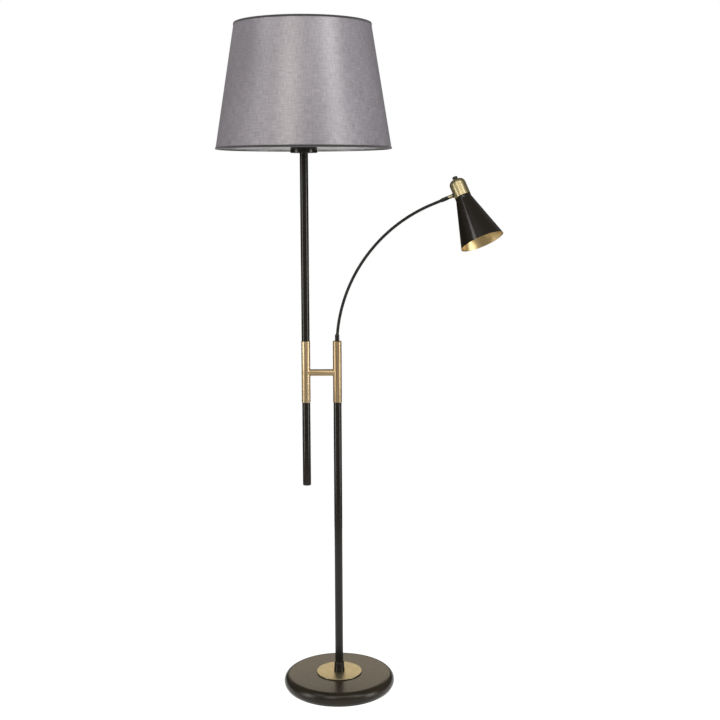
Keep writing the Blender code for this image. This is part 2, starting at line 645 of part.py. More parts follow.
def make_shade():
    place = {"location": (UPPER_X, 0, 0)}
    low = TRIM_WALL + GAP
    high = SHADE_SLANT - TRIM_WALL - GAP
    fabric = [wall_point(high, 0), wall_point(low, 0),
              wall_point(low, -SHADE_WALL), wall_point(high, -SHADE_WALL)]
    turned("shade_fabric", fabric, "fabric", ROUND_LARGE, **place)
    turned("shade_top_trim", trim_section(SHADE_SLANT, -1), "trim", ROUND_LARGE, **place)
    turned("shade_bottom_trim", trim_section(0, 1), "trim", ROUND_LARGE, **place)
    turned("shade_top_ring", ring_section(SHADE_SLANT - RING_INSET), "steel", ROUND_LARGE,
           **place)

    frame = turned("shade_bottom_frame", ring_section(RING_INSET), "steel", ROUND_LARGE,
                   **place)
    fitter_z = HOLDER_BODY_Z
    fitter = turned("fitter", ring(HOLDER_BODY_RADIUS + GAP, FITTER_RADIUS, fitter_z,
                                   fitter_z + FITTER_THICKNESS), "steel", ROUND_SMALL, **place)
    move_to_cutters(fitter)
    add_boolean(frame, fitter, "UNION")
    rim_radius, rim_z = wall_point(RING_INSET, -RING_DEPTH)
    hub_radius = FITTER_RADIUS - 2 * SPOKE_WIRE
    hub_z = fitter_z + FITTER_THICKNESS / 2 - GAP
    for index in range(SPOKE_COUNT):
        azimuth = QUARTER + math.tau * index / SPOKE_COUNT
        ends = [(radius * math.cos(azimuth), radius * math.sin(azimuth), height)
                for radius, height in ((hub_radius, hub_z), (rim_radius, rim_z))]
        spoke = add_object("spoke_%d" % index, wire_mesh("spoke", ends, SPOKE_WIRE, 1),
                           "steel", **place)
        move_to_cutters(spoke)
        add_boolean(frame, spoke, "UNION")


def move_to_cutters(item):
    LAMP.objects.unlink(item)
    CUTTERS.objects.link(item)


# ------------------------------------------------------------------ gooseneck
LINK_LENGTH = NECK_LENGTH / NECK_LINKS
LINK_STEP = (NECK_LAST_LEAN - NECK_FIRST_LEAN) / (NECK_LINKS - 1)
UPPER_FERRULE_Z = LINK_LENGTH + GAP
SWIVEL_Z = UPPER_FERRULE_Z + UPPER_FERRULE_LENGTH + GAP
SWIVEL_WASHER_Z = SWIVEL_Z + SWIVEL_LENGTH + GAP
HEAD_AXIS_Z = SWIVEL_WASHER_Z + SWIVEL_WASHER_THICKNESS + GAP + HEAD_RADIUS


def make_gooseneck():
    """The arm's chain. Each link hangs on an empty at its own bend. Returns the last one."""
    turn_axis = empty("neck_turn_axis", location=(0, 0, SLEEVE_TOP_Z + GAP))
    spigot = BUSH_BORE - GAP
    ferrule = [
        (NECK_RADIUS + GAP, LOWER_FERRULE_HEIGHT),
        (LOWER_FERRULE_RADIUS, LOWER_FERRULE_HEIGHT * 0.8),
        (LOWER_FERRULE_RADIUS, 0),
        (spigot, 0),
        (spigot, -BUSH_REACH / 2),
        (NECK_BORE, -BUSH_REACH / 2),
        (NECK_BORE, LOWER_FERRULE_HEIGHT),
    ]
    turned("lower_ferrule", ferrule, "black_paint", ROUND_SMALL, parent=turn_axis)

    parent = turn_axis
    location = (0, 0, LOWER_FERRULE_HEIGHT + LINK_GAP / 2)
    lean = NECK_FIRST_LEAN
    for index in range(NECK_LINKS):
        bend_axis = empty("neck_bend_axis_%02d" % (index + 1), parent, location,
                          (0, math.radians(lean), 0))
        end = LINK_LENGTH if index == NECK_LINKS - 1 else LINK_LENGTH - LINK_GAP / 2
        outline = ring(NECK_BORE, NECK_RADIUS, LINK_GAP / 2, end, chamfer=NECK_RADIUS / 8)
        turned("neck_link_%02d" % (index + 1), outline, "black_paint", ROUND_TINY,
               parent=bend_axis)
        parent = bend_axis
        location = (0, 0, LINK_LENGTH)
        lean = LINK_STEP
    return bend_axis


def make_swivel(arm_end):
    ferrule = [
        (UPPER_FERRULE_RADIUS - NECK_RADIUS / 4, UPPER_FERRULE_Z + UPPER_FERRULE_LENGTH),
        (UPPER_FERRULE_RADIUS, UPPER_FERRULE_Z + UPPER_FERRULE_LENGTH * 0.9),
        (UPPER_FERRULE_RADIUS, UPPER_FERRULE_Z + UPPER_FERRULE_LENGTH * 0.15),
        (NECK_RADIUS, UPPER_FERRULE_Z),
        (NECK_BORE, UPPER_FERRULE_Z),
        (NECK_BORE, UPPER_FERRULE_Z + UPPER_FERRULE_LENGTH),
    ]
    turned("upper_ferrule", ferrule, "black_paint", ROUND_SMALL, parent=arm_end)

    wall_depth = math.sqrt((HEAD_RADIUS - HEAD_WALL) ** 2 - SWIVEL_NUT_RADIUS ** 2)
    nut_z = HEAD_AXIS_Z - wall_depth + GAP
    body_end = SWIVEL_Z + SWIVEL_LENGTH
    spigot_end = nut_z + SWIVEL_NUT_THICKNESS + GAP
    nipple = [
        (SWIVEL_SPIGOT, spigot_end),
        (SWIVEL_SPIGOT, body_end),
        (SWIVEL_RADIUS, body_end),
        (SWIVEL_RADIUS, SWIVEL_Z),
        (NECK_BORE, SWIVEL_Z),
        (NECK_BORE, spigot_end),
    ]
    turned("swivel_nipple", nipple, "brass", ROUND_SMALL, parent=arm_end)
    bore = SWIVEL_SPIGOT + GAP
    washer = ring(bore, SWIVEL_WASHER_RADIUS, SWIVEL_WASHER_Z,
                  SWIVEL_WASHER_Z + SWIVEL_WASHER_THICKNESS)
    turned("swivel_washer", washer, "rubber", ROUND_SMALL, parent=arm_end)
    nut = ring(bore, SWIVEL_NUT_RADIUS, nut_z, nut_z + SWIVEL_NUT_THICKNESS)
    turned("swivel_lock_nut", nut, "steel", ROUND_TINY, parent=arm_end)


# ------------------------------------------------------------------ spot head
SPOT_TOP = -HEAD_SKIRT - GAP
SPOT_HOLDER_RADIUS = HEAD_RADIUS - SPOT_HOLDER_ROOM
SPOT_FLANGE_HOLE = SPOT_HOLDER_RADIUS + GAP


def make_head(arm_end):
    """Everything here hangs on the head's axis: local Z up the head, local X along the arm."""
    along_arm = empty("head_turn_axis", arm_end, (0, 0, HEAD_AXIS_Z), (0, -QUARTER, 0))
    head = empty("head_frame", along_arm, rotation=(math.radians(HEAD_TURN), 0, 0))

    shoulder = (HEAD_FLAT_RADIUS, HEAD_TOP - HEAD_SHOULDER)
    dome = [(SWITCH_BUSHING + GAP, HEAD_TOP)]
    dome += arc(shoulder, HEAD_SHOULDER, 90, 0, 5)
    dome.append((HEAD_RADIUS, -HEAD_SKIRT))
    cap = turned("head_cap", dome, "brass", ROUND_MEDIUM, closed=False, wall=HEAD_WALL,
                 parent=head)
    arm_hole = cylinder_mesh("arm_hole", SWIVEL_SPIGOT + GAP, HEAD_RADIUS, ROUND_TINY)
    cut(cap, arm_hole, parent=head, location=(-HEAD_RADIUS, 0, 0), rotation=(0, QUARTER, 0))

    top = SPOT_HOLDER_TOP
    bottom = top - SPOT_HOLDER_LENGTH
    ledge = SPOT_TOP + GAP
    cavity = SPOT_BULB_CAP_RADIUS + 3 * GAP
    cavity_top = bottom + SPOT_BULB_CAP_LENGTH
    collar = SPOT_HOLDER_RADIUS + SPOT_SHOULDER
    holder = [
        (0, top),
        (SPOT_HOLDER_RADIUS, top),
        (SPOT_HOLDER_RADIUS, ledge + SPOT_SHOULDER),
        (collar, ledge + SPOT_SHOULDER),
        (collar, ledge),
        (SPOT_HOLDER_RADIUS, ledge),
        (SPOT_HOLDER_RADIUS, bottom),
        (cavity, bottom),
        (cavity, cavity_top),
        (0, cavity_top),
    ]
    turned("spot_lampholder", holder, "bakelite", ROUND_SMALL, closed=False, parent=head)

    neck_end = SPOT_TOP - SPOT_NECK_HEIGHT
    cone = [
        (SPOT_FLANGE_HOLE, SPOT_TOP),
        (SPOT_NECK_RADIUS - SPOT_WALL, SPOT_TOP),
        (SPOT_NECK_RADIUS, SPOT_TOP - SPOT_WALL),
        (SPOT_NECK_RADIUS, neck_end),
        (SPOT_MOUTH_RADIUS, SPOT_TOP - SPOT_LENGTH),
    ]
    turned("spot_shade", cone, "black_paint", ROUND_LARGE, closed=False, wall=SPOT_WALL,
           parent=head)
    ring_top = SPOT_TOP - SPOT_WALL - 2 * GAP
    retainer = ring(SPOT_FLANGE_HOLE, SPOT_RING_RADIUS, ring_top - SPOT_RING_HEIGHT, ring_top)
    turned("spot_ring_nut", retainer, "bakelite", ROUND_SMALL, parent=head)

    cap_top = cavity_top - GAP
    bulb_cap_end = cap_top - SPOT_BULB_CAP_LENGTH
    bulb_cap = [
        (0, cap_top),
        (SPOT_BULB_CAP_RADIUS / 3, cap_top),
        (SPOT_BULB_CAP_RADIUS, cap_top - SPOT_BULB_CAP_LENGTH / 6),
        (SPOT_BULB_CAP_RADIUS, bulb_cap_end),
        (0, bulb_cap_end),
    ]
    turned("spot_bulb_cap", bulb_cap, "steel", ROUND_SMALL, closed=False, parent=head)
    turned("spot_bulb_glass",
           bulb_outline(SPOT_BULB_NECK, SPOT_BULB_RADIUS, SPOT_BULB_LENGTH), "glass",
           ROUND_SMALL, closed=False, wall=GLASS_WALL, parent=head,
           location=(0, 0, bulb_cap_end - GAP), rotation=(math.pi, 0, 0))

    nut_z = HEAD_TOP + GAP
    nut_top = nut_z + SWITCH_NUT_HEIGHT
    inner_shoulder = HEAD_SHOULDER - HEAD_WALL
    over_shoulder = max(SWITCH_RADIUS - shoulder[0], 0)
    body_top = shoulder[1] + math.sqrt(inner_shoulder ** 2 - over_shoulder ** 2) - 2 * GAP
    switch = [
        (SWITCH_BUSHING, nut_top),
        (SWITCH_BUSHING, body_top),
        (SWITCH_RADIUS, body_top),
        (SWITCH_RADIUS, body_top - SWITCH_HEIGHT),
        (KNOB_SHAFT + GAP, body_top - SWITCH_HEIGHT),
        (KNOB_SHAFT + GAP, nut_top),
    ]
    turned("switch_body", switch, "bakelite", ROUND_SMALL, parent=head)
    turned("switch_nut", ring(SWITCH_BUSHING + GAP, SWITCH_NUT_RADIUS, nut_z, nut_top),
           "black_paint", ROUND_SMALL, parent=head)

    knob_axis = empty("knob_axis", head, (0, 0, nut_top + GAP))
    edge = KNOB_HEIGHT / 3
    knob = [(0, KNOB_HEIGHT)]
    knob += arc((KNOB_RADIUS - edge, KNOB_HEIGHT - edge), edge, 90, 0, 3)
    knob += [
        (KNOB_RADIUS, KNOB_HEIGHT / 4),
        (KNOB_RADIUS * 0.8, 0),
        (KNOB_SHAFT, 0),
        (KNOB_SHAFT, -SWITCH_HEIGHT / 2),
        (0, -SWITCH_HEIGHT / 2),
    ]
    turned("switch_knob", knob, "black_paint", ROUND_SMALL, closed=False, parent=knob_axis)


# ------------------------------------------------------------------ supply lead
def corner(before, point, after, radius, steps=5):
    """Rounded corner between two straight runs, as points on a quadratic curve."""
    def toward(target):
        length = math.dist(point, target)
        return [p + (t - p) * radius / length for p, t in zip(point, target)]

    start = toward(before)
    end = toward(after)
    points = []
    for index in range(steps + 1):
        share = index / steps
        weights = ((1 - share) ** 2, 2 * share * (1 - share), share ** 2)
        points.append(tuple(weights[0] * s + weights[1] * p + weights[2] * e
                            for s, p, e in zip(start, point, end)))
    return points


def make_lead():
    """Two-core lead from the inlet, up both poles by way of the crossbar, to the holder."""
    floor_z = PAD_THICKNESS + 2 * GAP + LEAD_RADIUS
    drop_y = PLATE_RADIUS + 2 * LEAD_RADIUS
    inlet = (0, BASE_RADIUS - COVER_WALL, GROMMET_Z)
    bends = [
        (0, drop_y, GROMMET_Z),
        (0, drop_y, floor_z),
        (0, 0, floor_z),
        (0, 0, CROSSBAR_Z),
        (UPPER_X, 0, CROSSBAR_Z),
    ]
    end = (UPPER_X, 0, HOLDER_BODY_Z - GAP)
    stops = [inlet] + bends + [end]
    points = [inlet]
    for index, bend in enumerate(bends):
        points += corner(stops[index], bend, stops[index + 2], 2 * LEAD_RADIUS)
    points.append(end)
    mesh = wire_mesh("supply_lead", points, LEAD_RADIUS, 1)
    add_object("supply_lead", mesh, "lead")


make_base()
make_poles()
make_coupler()
make_main_lamp()
make_shade()
ARM_END = make_gooseneck()
make_swivel(ARM_END)
make_head(ARM_END)
make_lead()
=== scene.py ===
"""Looks for the floor lamp: turned tubes, a cloth shade, a wound gooseneck and a cone spot."""
import json
import math

import bmesh
import bpy
from mathutils import Matrix, Vector


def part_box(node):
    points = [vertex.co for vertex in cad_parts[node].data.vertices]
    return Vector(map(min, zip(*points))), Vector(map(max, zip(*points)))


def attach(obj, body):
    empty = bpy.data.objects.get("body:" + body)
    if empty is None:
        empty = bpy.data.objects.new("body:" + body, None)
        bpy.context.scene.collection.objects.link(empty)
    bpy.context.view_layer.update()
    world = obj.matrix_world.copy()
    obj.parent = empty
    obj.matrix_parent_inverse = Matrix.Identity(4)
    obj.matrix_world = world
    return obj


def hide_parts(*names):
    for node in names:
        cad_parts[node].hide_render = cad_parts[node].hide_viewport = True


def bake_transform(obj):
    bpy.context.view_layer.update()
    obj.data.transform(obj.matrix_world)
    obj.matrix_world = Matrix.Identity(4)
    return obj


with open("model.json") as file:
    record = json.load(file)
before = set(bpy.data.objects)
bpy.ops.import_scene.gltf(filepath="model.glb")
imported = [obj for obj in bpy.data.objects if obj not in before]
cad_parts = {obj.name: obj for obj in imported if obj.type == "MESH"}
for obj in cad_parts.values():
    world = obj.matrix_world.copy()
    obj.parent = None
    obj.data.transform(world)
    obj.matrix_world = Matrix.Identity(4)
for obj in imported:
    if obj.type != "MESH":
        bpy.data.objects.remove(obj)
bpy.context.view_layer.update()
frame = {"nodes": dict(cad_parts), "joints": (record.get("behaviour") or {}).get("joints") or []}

# ------------------------------------------------------------------ sizes, in metres
FINE = 128                      # steps round a wide turned piece
ROUND = 64                      # steps round a tube
SMALL_ROUND = 48                # steps round a small turned piece
CORNER = 4                      # steps round a softened corner
GAP = 0.0003                    # what touching pieces keep between them

PIPE_BORE = 0.0053              # clears the lamp pipe inside
COVER_WALL = 0.0015
COVER_CROWN = 0.002
CROWN_STEPS = 12
GROMMET_GRIP = 0.0012           # how far the grommet's flanges reach past the cover's hole
POLE_WALL = 0.0012
SLEEVE_WALL = 0.0016
FITTER_BORE = 0.0201            # the shade's hub and ring nut, round the lampholder

BOTTOM_RADIUS, TOP_RADIUS = 0.200, 0.1545
SHADE_TALL = 0.280
SPOKES = 3
SHADE_WALL = 0.0012             # cloth and card together
CLOTH = 0.0005                  # woven cloth on the outside of the shade's card
CLOTH_ROUND = 192
CLOTH_ROWS = 40
SEAM_HALF_ANGLE = math.radians(1.8)
SEAM_STEP = 0.0003
TAPE = 0.0006
TAPE_WIDTH = 0.0045
WIRE = 0.0013

HOSE_RADIUS = 0.0036
HOSE_PITCH = 0.00225            # one turn of the wound hose
HOSE_RIB = 0.00016
HOSE_ROUND = 16
RINGS_PER_PITCH = 6
NECK_LINKS = 10

FERRULE_LENGTH = 0.019
SPIGOT_LENGTH = 0.0097

HEAD_ROUND = 96                 # steps round the cap and the cone
HEAD_RADIUS = 0.019
HEAD_TOP = 0.0325
HEAD_FLAT = 0.0065
HEAD_SKIRT = 0.0105
HEAD_WALL = 0.0012
SWITCH_BORE = 0.0037
SPOT_TOP = -0.0108
SPOT_NECK_RADIUS = 0.01875
SPOT_NECK_HEIGHT = 0.0047
SPOT_MOUTH_RADIUS = 0.0512
SPOT_LENGTH = 0.1147
SPOT_WALL = 0.0008
SPOT_FLANGE = 0.0123            # the cone's bore, round the small lampholder
SPOT_HOLDER_LENGTH = 0.0385
CONE_ROWS = 24

FLOOR_RADIUS = 1.3

SIDEWAYS = Matrix.Rotation(math.pi / 2, 4, "Y")


# ------------------------------------------------------------------ colour and nodes
def srgb(code):
    """A hex colour as linear light."""
    parts = [int(code[index:index + 2], 16) / 255 for index in (1, 3, 5)]
    return tuple(v / 12.92 if v <= 0.04045 else ((v + 0.055) / 1.055) ** 2.4 for v in parts) + (1,)


def add_node(tree, kind, inputs=None, **settings):
    """Adds one node, fills its sockets with values or links, and sets its options."""
    node = tree.nodes.new("ShaderNode" + kind)
    for name, value in settings.items():
        setattr(node, name, value)
    for name, value in (inputs or {}).items():
        socket = node.inputs[name]
        if isinstance(value, bpy.types.NodeSocket):
            tree.links.new(value, socket)
        else:
            socket.default_value = value
    return node


def new_material(name, **values):
    """A Principled material, its sockets set by name. Returns it with its tree and shader."""
    made = bpy.data.materials.new(name)
    made.use_nodes = True
    tree = made.node_tree
    shader = tree.nodes["Principled BSDF"]
    for key, value in values.items():
        shader.inputs[key.replace("_", " ")].default_value = value
    return made, tree, shader


def ramp(tree, factor, stops):
    """A colour ramp over hex stops, {position: colour}."""
    node = add_node(tree, "ValToRGB", {"Fac": factor})
    elements = node.color_ramp.elements
    while len(elements) > 1:
        elements.remove(elements[-1])
    for index, (position, colour) in enumerate(sorted(stops.items())):
        element = elements[0] if index == 0 else elements.new(position)
        element.position = position
        element.color = srgb(colour)
    return node.outputs["Color"]


def spread(tree, factor, low, high):
    """A 0 to 1 value spread between two others."""
    node = add_node(tree, "MapRange", {"Value": factor, "To Min": low, "To Max": high})
    return node.outputs["Result"]


def place(tree, scale=(1, 1, 1), rotation=(0, 0, 0), location=(0, 0, 0), output="Object"):
    """Coordinates, centred and turned, then scaled."""
    coords = add_node(tree, "TexCoord")
    return add_node(tree, "Mapping", {"Vector": coords.outputs[output], "Scale": scale,
                                      "Rotation": rotation, "Location": location}).outputs[0]


def noise(tree, vector, per_metre, detail=2.0, roughness=0.5):
    """A cloud of tone, with so many lumps to a metre."""
    node = add_node(tree, "TexNoise", {"Vector": vector, "Scale": per_metre, "Detail": detail,
                                       "Roughness": roughness})
    return node.outputs["Fac"]


def bump(tree, shader, height, depth, strength=1.0):
    """Relief of a depth in metres."""
    node = add_node(tree, "Bump", {"Height": height, "Distance": depth, "Strength": strength})
    tree.links.new(node.outputs["Normal"], shader.inputs["Normal"])


def powder_coat(name, dark, light, roughness, metallic=0.0, specular=0.5):
    """Sprayed and baked polyester powder: satin, with a faint orange peel."""
    made, tree, shader = new_material(name, Metallic=metallic, Specular_IOR_Level=specular)
    coords = place(tree)
    cloudy = noise(tree, coords, 14.0, 3.0)
    peel = noise(tree, coords, 1 / 0.0016, 1.0)
    tree.links.new(ramp(tree, cloudy, {0.3: dark, 0.7: light}), shader.inputs["Base Color"])
    tree.links.new(spread(tree, noise(tree, coords, 60.0), roughness - 0.03, roughness + 0.03),
                   shader.inputs["Roughness"])
    bump(tree, shader, peel, 0.00001, 0.1)
    return made


def brushed_brass(name, along, tones, rotation=(0, 0, 0), location=(0, 0, 0)):
    """Antiqued brass, brushed lengthwise and lacquered: fine streaks of straw and brown, and broad
    bands of painted reflection in its colour.
    """
    made, tree, shader = new_material(name, Metallic=1.0)
    lengthwise = place(tree, (1, 1, 1), rotation, location)
    streaks = []
    for across, length in ((800.0, 5.0), (330.0, 1.6)):
        scale = [across] * 3
        scale[along] = length
        drawn = add_node(tree, "Mapping", {"Vector": lengthwise, "Scale": scale}).outputs[0]
        streaks.append(noise(tree, drawn, 1.0, 3.0, 0.6))
    lines, bands = streaks
    # The broad bands are painted reflection of the room's lights; the fine lines are the brushing.
    brushing_and_reflection = add_node(tree, "Mix", {"Factor": 0.4, "A": bands, "B": lines}).outputs["Result"]
    tree.links.new(ramp(tree, brushing_and_reflection, dict(zip((0.41, 0.5, 0.59), tones))),
                   shader.inputs["Base Color"])
    tree.links.new(spread(tree, lines, 0.35, 0.45), shader.inputs["Roughness"])
    bump(tree, shader, lines, 0.000006, 0.12)
    return made


def spun_brass():
    """Brass disc, turned and lacquered: rings so fine that they only soften the shine."""
    made, tree, shader = new_material("brass_spun_satin", Metallic=1.0)
    split = add_node(tree, "SeparateXYZ", {"Vector": place(tree)})
    flat = add_node(tree, "CombineXYZ", {"X": split.outputs["X"], "Y": split.outputs["Y"]})
    radius = add_node(tree, "VectorMath", {0: flat.outputs[0]}, operation="LENGTH")
    along = add_node(tree, "CombineXYZ", {"X": radius.outputs["Value"]}).outputs[0]
    rings = noise(tree, along, 1 / 0.0006, 2.0)
    cloudy = noise(tree, flat.outputs[0], 60.0, 3.0)
    mixed = add_node(tree, "Mix", {"Factor": 0.4, "A": cloudy, "B": rings}).outputs["Result"]
    tree.links.new(ramp(tree, mixed, {0.3: "#9c9172", 0.7: "#b4a988"}),
                   shader.inputs["Base Color"])
    tree.links.new(spread(tree, rings, 0.34, 0.46), shader.inputs["Roughness"])
    bump(tree, shader, rings, 0.00001, 0.1)
    return made


def plain_metal(name, dark, light, roughness, grain=0.001, depth=0.00002):
    """Plated, lacquered or cast metal, with a grain in metres."""
    made, tree, shader = new_material(name, Metallic=1.0)
    coords = place(tree)
    grains = noise(tree, coords, 1 / grain, 3.0)
    tree.links.new(ramp(tree, noise(tree, coords, 50.0, 4.0), {0.3: dark, 0.7: light}),
                   shader.inputs["Base Color"])
    tree.links.new(spread(tree, grains, roughness - 0.06, roughness + 0.06),
                   shader.inputs["Roughness"])
    bump(tree, shader, grains, depth)
    return made


def moulded(name, dark, light, roughness, grain, depth, ior=1.5):
    """Rubber, plastic, felt or card: one colour, barely clouded, with a grain in metres."""
    made, tree, shader = new_material(name, IOR=ior)
    coords = place(tree)
    grains = noise(tree, coords, 1 / grain, 2.0)
    tree.links.new(ramp(tree, noise(tree, coords, 40.0, 3.0), {0.3: dark, 0.7: light}),
                   shader.inputs["Base Color"])
    tree.links.new(spread(tree, grains, roughness - 0.05, roughness + 0.05),
                   shader.inputs["Roughness"])
    bump(tree, shader, grains, depth)
    return made


def lampshade_cloth():
    """Polycotton in plain weave, ironed on card. Real threads are 0.45 mm apart."""
    made, tree, shader = new_material("polycotton_plain_weave", Roughness=0.4,
                                      Specular_IOR_Level=1.0, Sheen_Weight=0.1,
                                      Sheen_Roughness=0.45)
    thread = 0.0024             # coarsened from 0.45 mm, so that the weave shows
    slub = 0.018
    warp = noise(tree, place(tree, (1 / thread, 1 / slub, 1), output="UV"), 1.0, 2.0)
    weft = noise(tree, place(tree, (1 / slub, 1 / thread, 1), output="UV"), 1.0, 2.0)
    threads = add_node(tree, "Mix", {"Factor": 0.5, "A": warp, "B": weft}).outputs["Result"]
    cloudy = noise(tree, place(tree, (7, 3, 1), output="UV"), 1.0, 2.0)
    tone = add_node(tree, "Mix", {"Factor": 0.25, "A": threads, "B": cloudy}).outputs["Result"]
    tree.links.new(ramp(tree, tone, {0.36: "#615d63", 0.5: "#747076", 0.64: "#88848a"}),
                   shader.inputs["Base Color"])
    weave = [add_node(tree, "TexWave", {"Vector": place(tree, output="UV"),
                                        "Scale": 1 / thread / math.pi, "Distortion": 0.0},
                      bands_direction=direction).outputs["Fac"] for direction in ("X", "Y")]
    crossing = add_node(tree, "Math", {0: weave[0], 1: weave[1]}, operation="MULTIPLY")
    relief = add_node(tree, "Mix", {"Factor": 0.5, "A": crossing.outputs[0], "B": threads})
    bump(tree, shader, relief.outputs["Result"], 0.00012, 0.7)
    return made


def tape_cloth():
    """Cotton bias tape, turned over the rim: a close weave that drinks the light."""
    made, tree, shader = new_material("cotton_bias_tape", Roughness=0.85,
                                      Specular_IOR_Level=0.3, Sheen_Weight=0.3)
    coords = place(tree)
    threads = noise(tree, coords, 1 / 0.0007, 2.0)
    tree.links.new(ramp(tree, threads, {0.3: "#242324", 0.7: "#3a383a"}),
                   shader.inputs["Base Color"])
    bump(tree, shader, threads, 0.0001)
    return made


def frosted_glass():
    """Opal lamp glass: acid-etched soda-lime, milky and softly shining."""
    made, tree, shader = new_material("opal_glass", Roughness=0.28, IOR=1.5,
                                      Subsurface_Weight=0.25, Coat_Weight=0.2)
    cloudy = noise(tree, place(tree), 45.0, 3.0)
    tree.links.new(ramp(tree, cloudy, {0.3: "#e9e8e2", 0.7: "#f4f3ee"}),
                   shader.inputs["Base Color"])
    return made


# ------------------------------------------------------------------ modelling
def softened(corners):
    """An outline of (radius, height, fillet) corners as points, each fillet an arc."""
    points = []
    count = len(corners)
    for index, (radius, height, fillet) in enumerate(corners):
        here = Vector((radius, height))
        before = Vector(corners[index - 1][:2]) - here
        after = Vector(corners[(index + 1) % count][:2]) - here
        if not fillet:
            points.append(tuple(here))
            continue
        start = here + before.normalized() * fillet
        end = here + after.normalized() * fillet
        for step in range(CORNER + 1):
            share = step / CORNER
            point = start * (1 - share) ** 2 + here * 2 * share * (1 - share) + end * share ** 2
            points.append(tuple(point))
    return points


def arc(centre, radius, start, end, steps):
    """Points round an arc, from one angle to another in degrees."""
    angles = [math.radians(start + (end - start) * step / steps) for step in range(steps + 1)]
    return [(centre[0] + radius * math.cos(a), centre[1] + radius * math.sin(a)) for a in angles]


def spun(outline, steps=ROUND, closed=True):
    """A turned solid: the outline in the XZ plane, spun about Z."""
    shape = bmesh.new()
    points = [shape.verts.new((radius, 0, height)) for radius, height in outline]
    pairs = list(zip(points, points[1:]))
    if closed:
        pairs.append((points[-1], points[0]))
    edges = [shape.edges.new(pair) for pair in pairs]
    bmesh.ops.spin(shape, geom=points + edges, cent=(0, 0, 0), axis=(0, 0, 1), angle=math.tau,
                   steps=steps, use_merge=True)
    bmesh.ops.remove_doubles(shape, verts=shape.verts, dist=1e-6)
    bmesh.ops.recalc_face_normals(shape, faces=shape.faces)
    return shape


def finished(name, shape, material, body, nodes=(), at=None, sharp=40):
    """Makes a piece of a shape, puts it in place, and lets it ride on its body."""
    if at is not None:
        shape.transform(at)
    mesh = bpy.data.meshes.new(name)
    shape.to_mesh(mesh)
    shape.free()
    mesh.shade_smooth()
    mesh.set_sharp_from_angle(angle=math.radians(sharp))
    for one in material if isinstance(material, (list, tuple)) else [material]:
        mesh.materials.append(one)
    piece = bpy.data.objects.new(name, mesh)
    bpy.context.scene.collection.objects.link(piece)
    if body:
        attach(piece, body)
    if nodes:
        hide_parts(*nodes)
    return piece


def carved(shape, cutters):
    """The shape with each cutter, another shape, taken out of it."""
    objects = []
    for part in [shape] + cutters:
        mesh = bpy.data.meshes.new("carving")
        part.to_mesh(mesh)
        part.free()
        item = bpy.data.objects.new("carving", mesh)
        bpy.context.scene.collection.objects.link(item)
        objects.append(item)
    whole = objects[0]
    for cutter in objects[1:]:
        modifier = whole.modifiers.new("cut", "BOOLEAN")
        modifier.object = cutter
        modifier.solver = "EXACT"
    bpy.context.view_layer.update()
    result = bmesh.new()
    result.from_object(whole, bpy.context.evaluated_depsgraph_get())
    for item in objects:
        bpy.data.objects.remove(item, do_unlink=True)
    return result


def rod(radius, length, steps=ROUND, at=None):
    """A plain round bar along Z, about its middle."""
    shape = bmesh.new()
    bmesh.ops.create_cone(shape, cap_ends=True, segments=steps, radius1=radius, radius2=radius,
                          depth=length)
    if at is not None:
        shape.transform(at)
    return shape


def size_of(node):
    """A node's centre, low corner, high corner and half size."""
    low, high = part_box(node)
    centre = (low + high) / 2
    return centre, low, high, (high - low) / 2


def joint(name):
    """The frame's joint of that name."""
    return next(item for item in frame["joints"] if item["name"] == name)


def shift(x=0.0, y=0.0, z=0.0):
    return Matrix.Translation((x, y, z))


# ------------------------------------------------------------------ materials
BLACK = powder_coat("powder_coat_black", "#14110c", "#1a1611", 0.22, specular=0.3)
BRONZE = powder_coat("powder_coat_dark_bronze", "#1f1b14", "#272218", 0.28, 0.2, 0.25)
NECK_BLACK = powder_coat("hose_lacquer_black", "#0d0c09", "#14120e", 0.36, specular=0.25)
# Brass tones, dark to light: their wide spread is partly painted reflection.
BROWN_BRASS = ("#766147", "#a8916d", "#cfbd99")
GREEN_BRASS = ("#7b7154", "#9d9270", "#bfb48f")
BRASS_UPRIGHT = brushed_brass("brass_brushed_upright", 2, BROWN_BRASS)
BRASS_ACROSS = brushed_brass("brass_brushed_across", 0, BROWN_BRASS)
ROSETTE_BRASS = spun_brass()
STEEL = plain_metal("zinc_plated_steel", "#9a9a98", "#b4b4b2", 0.34)
IRON = plain_metal("grey_cast_iron", "#3a3a3b", "#4a4a4a", 0.7, 0.002, 0.0002)
RUBBER = moulded("black_rubber", "#141414", "#1e1e1e", 0.75, 0.0008, 0.00003, 1.45)
PLASTIC = moulded("black_phenolic", "#12110f", "#1a1917", 0.38, 0.0012, 0.00001)
FELT = moulded("pressed_felt", "#191919", "#2b2a2a", 0.95, 0.0015, 0.0003, 1.4)
SHEATH = moulded("black_pvc_sheath", "#121212", "#1a1a1a", 0.5, 0.001, 0.00002)
LINING = moulded("white_styrene_card", "#c4c3c3", "#d0cfcf", 0.55, 0.003, 0.00002)
GOLD = plain_metal("gold_lacquer", "#c4ab78", "#d6c091", 0.34, 0.01, 0.000001)
CLOTH_LOOK = lampshade_cloth()
TAPE_LOOK = tape_cloth()
OPAL = frosted_glass()


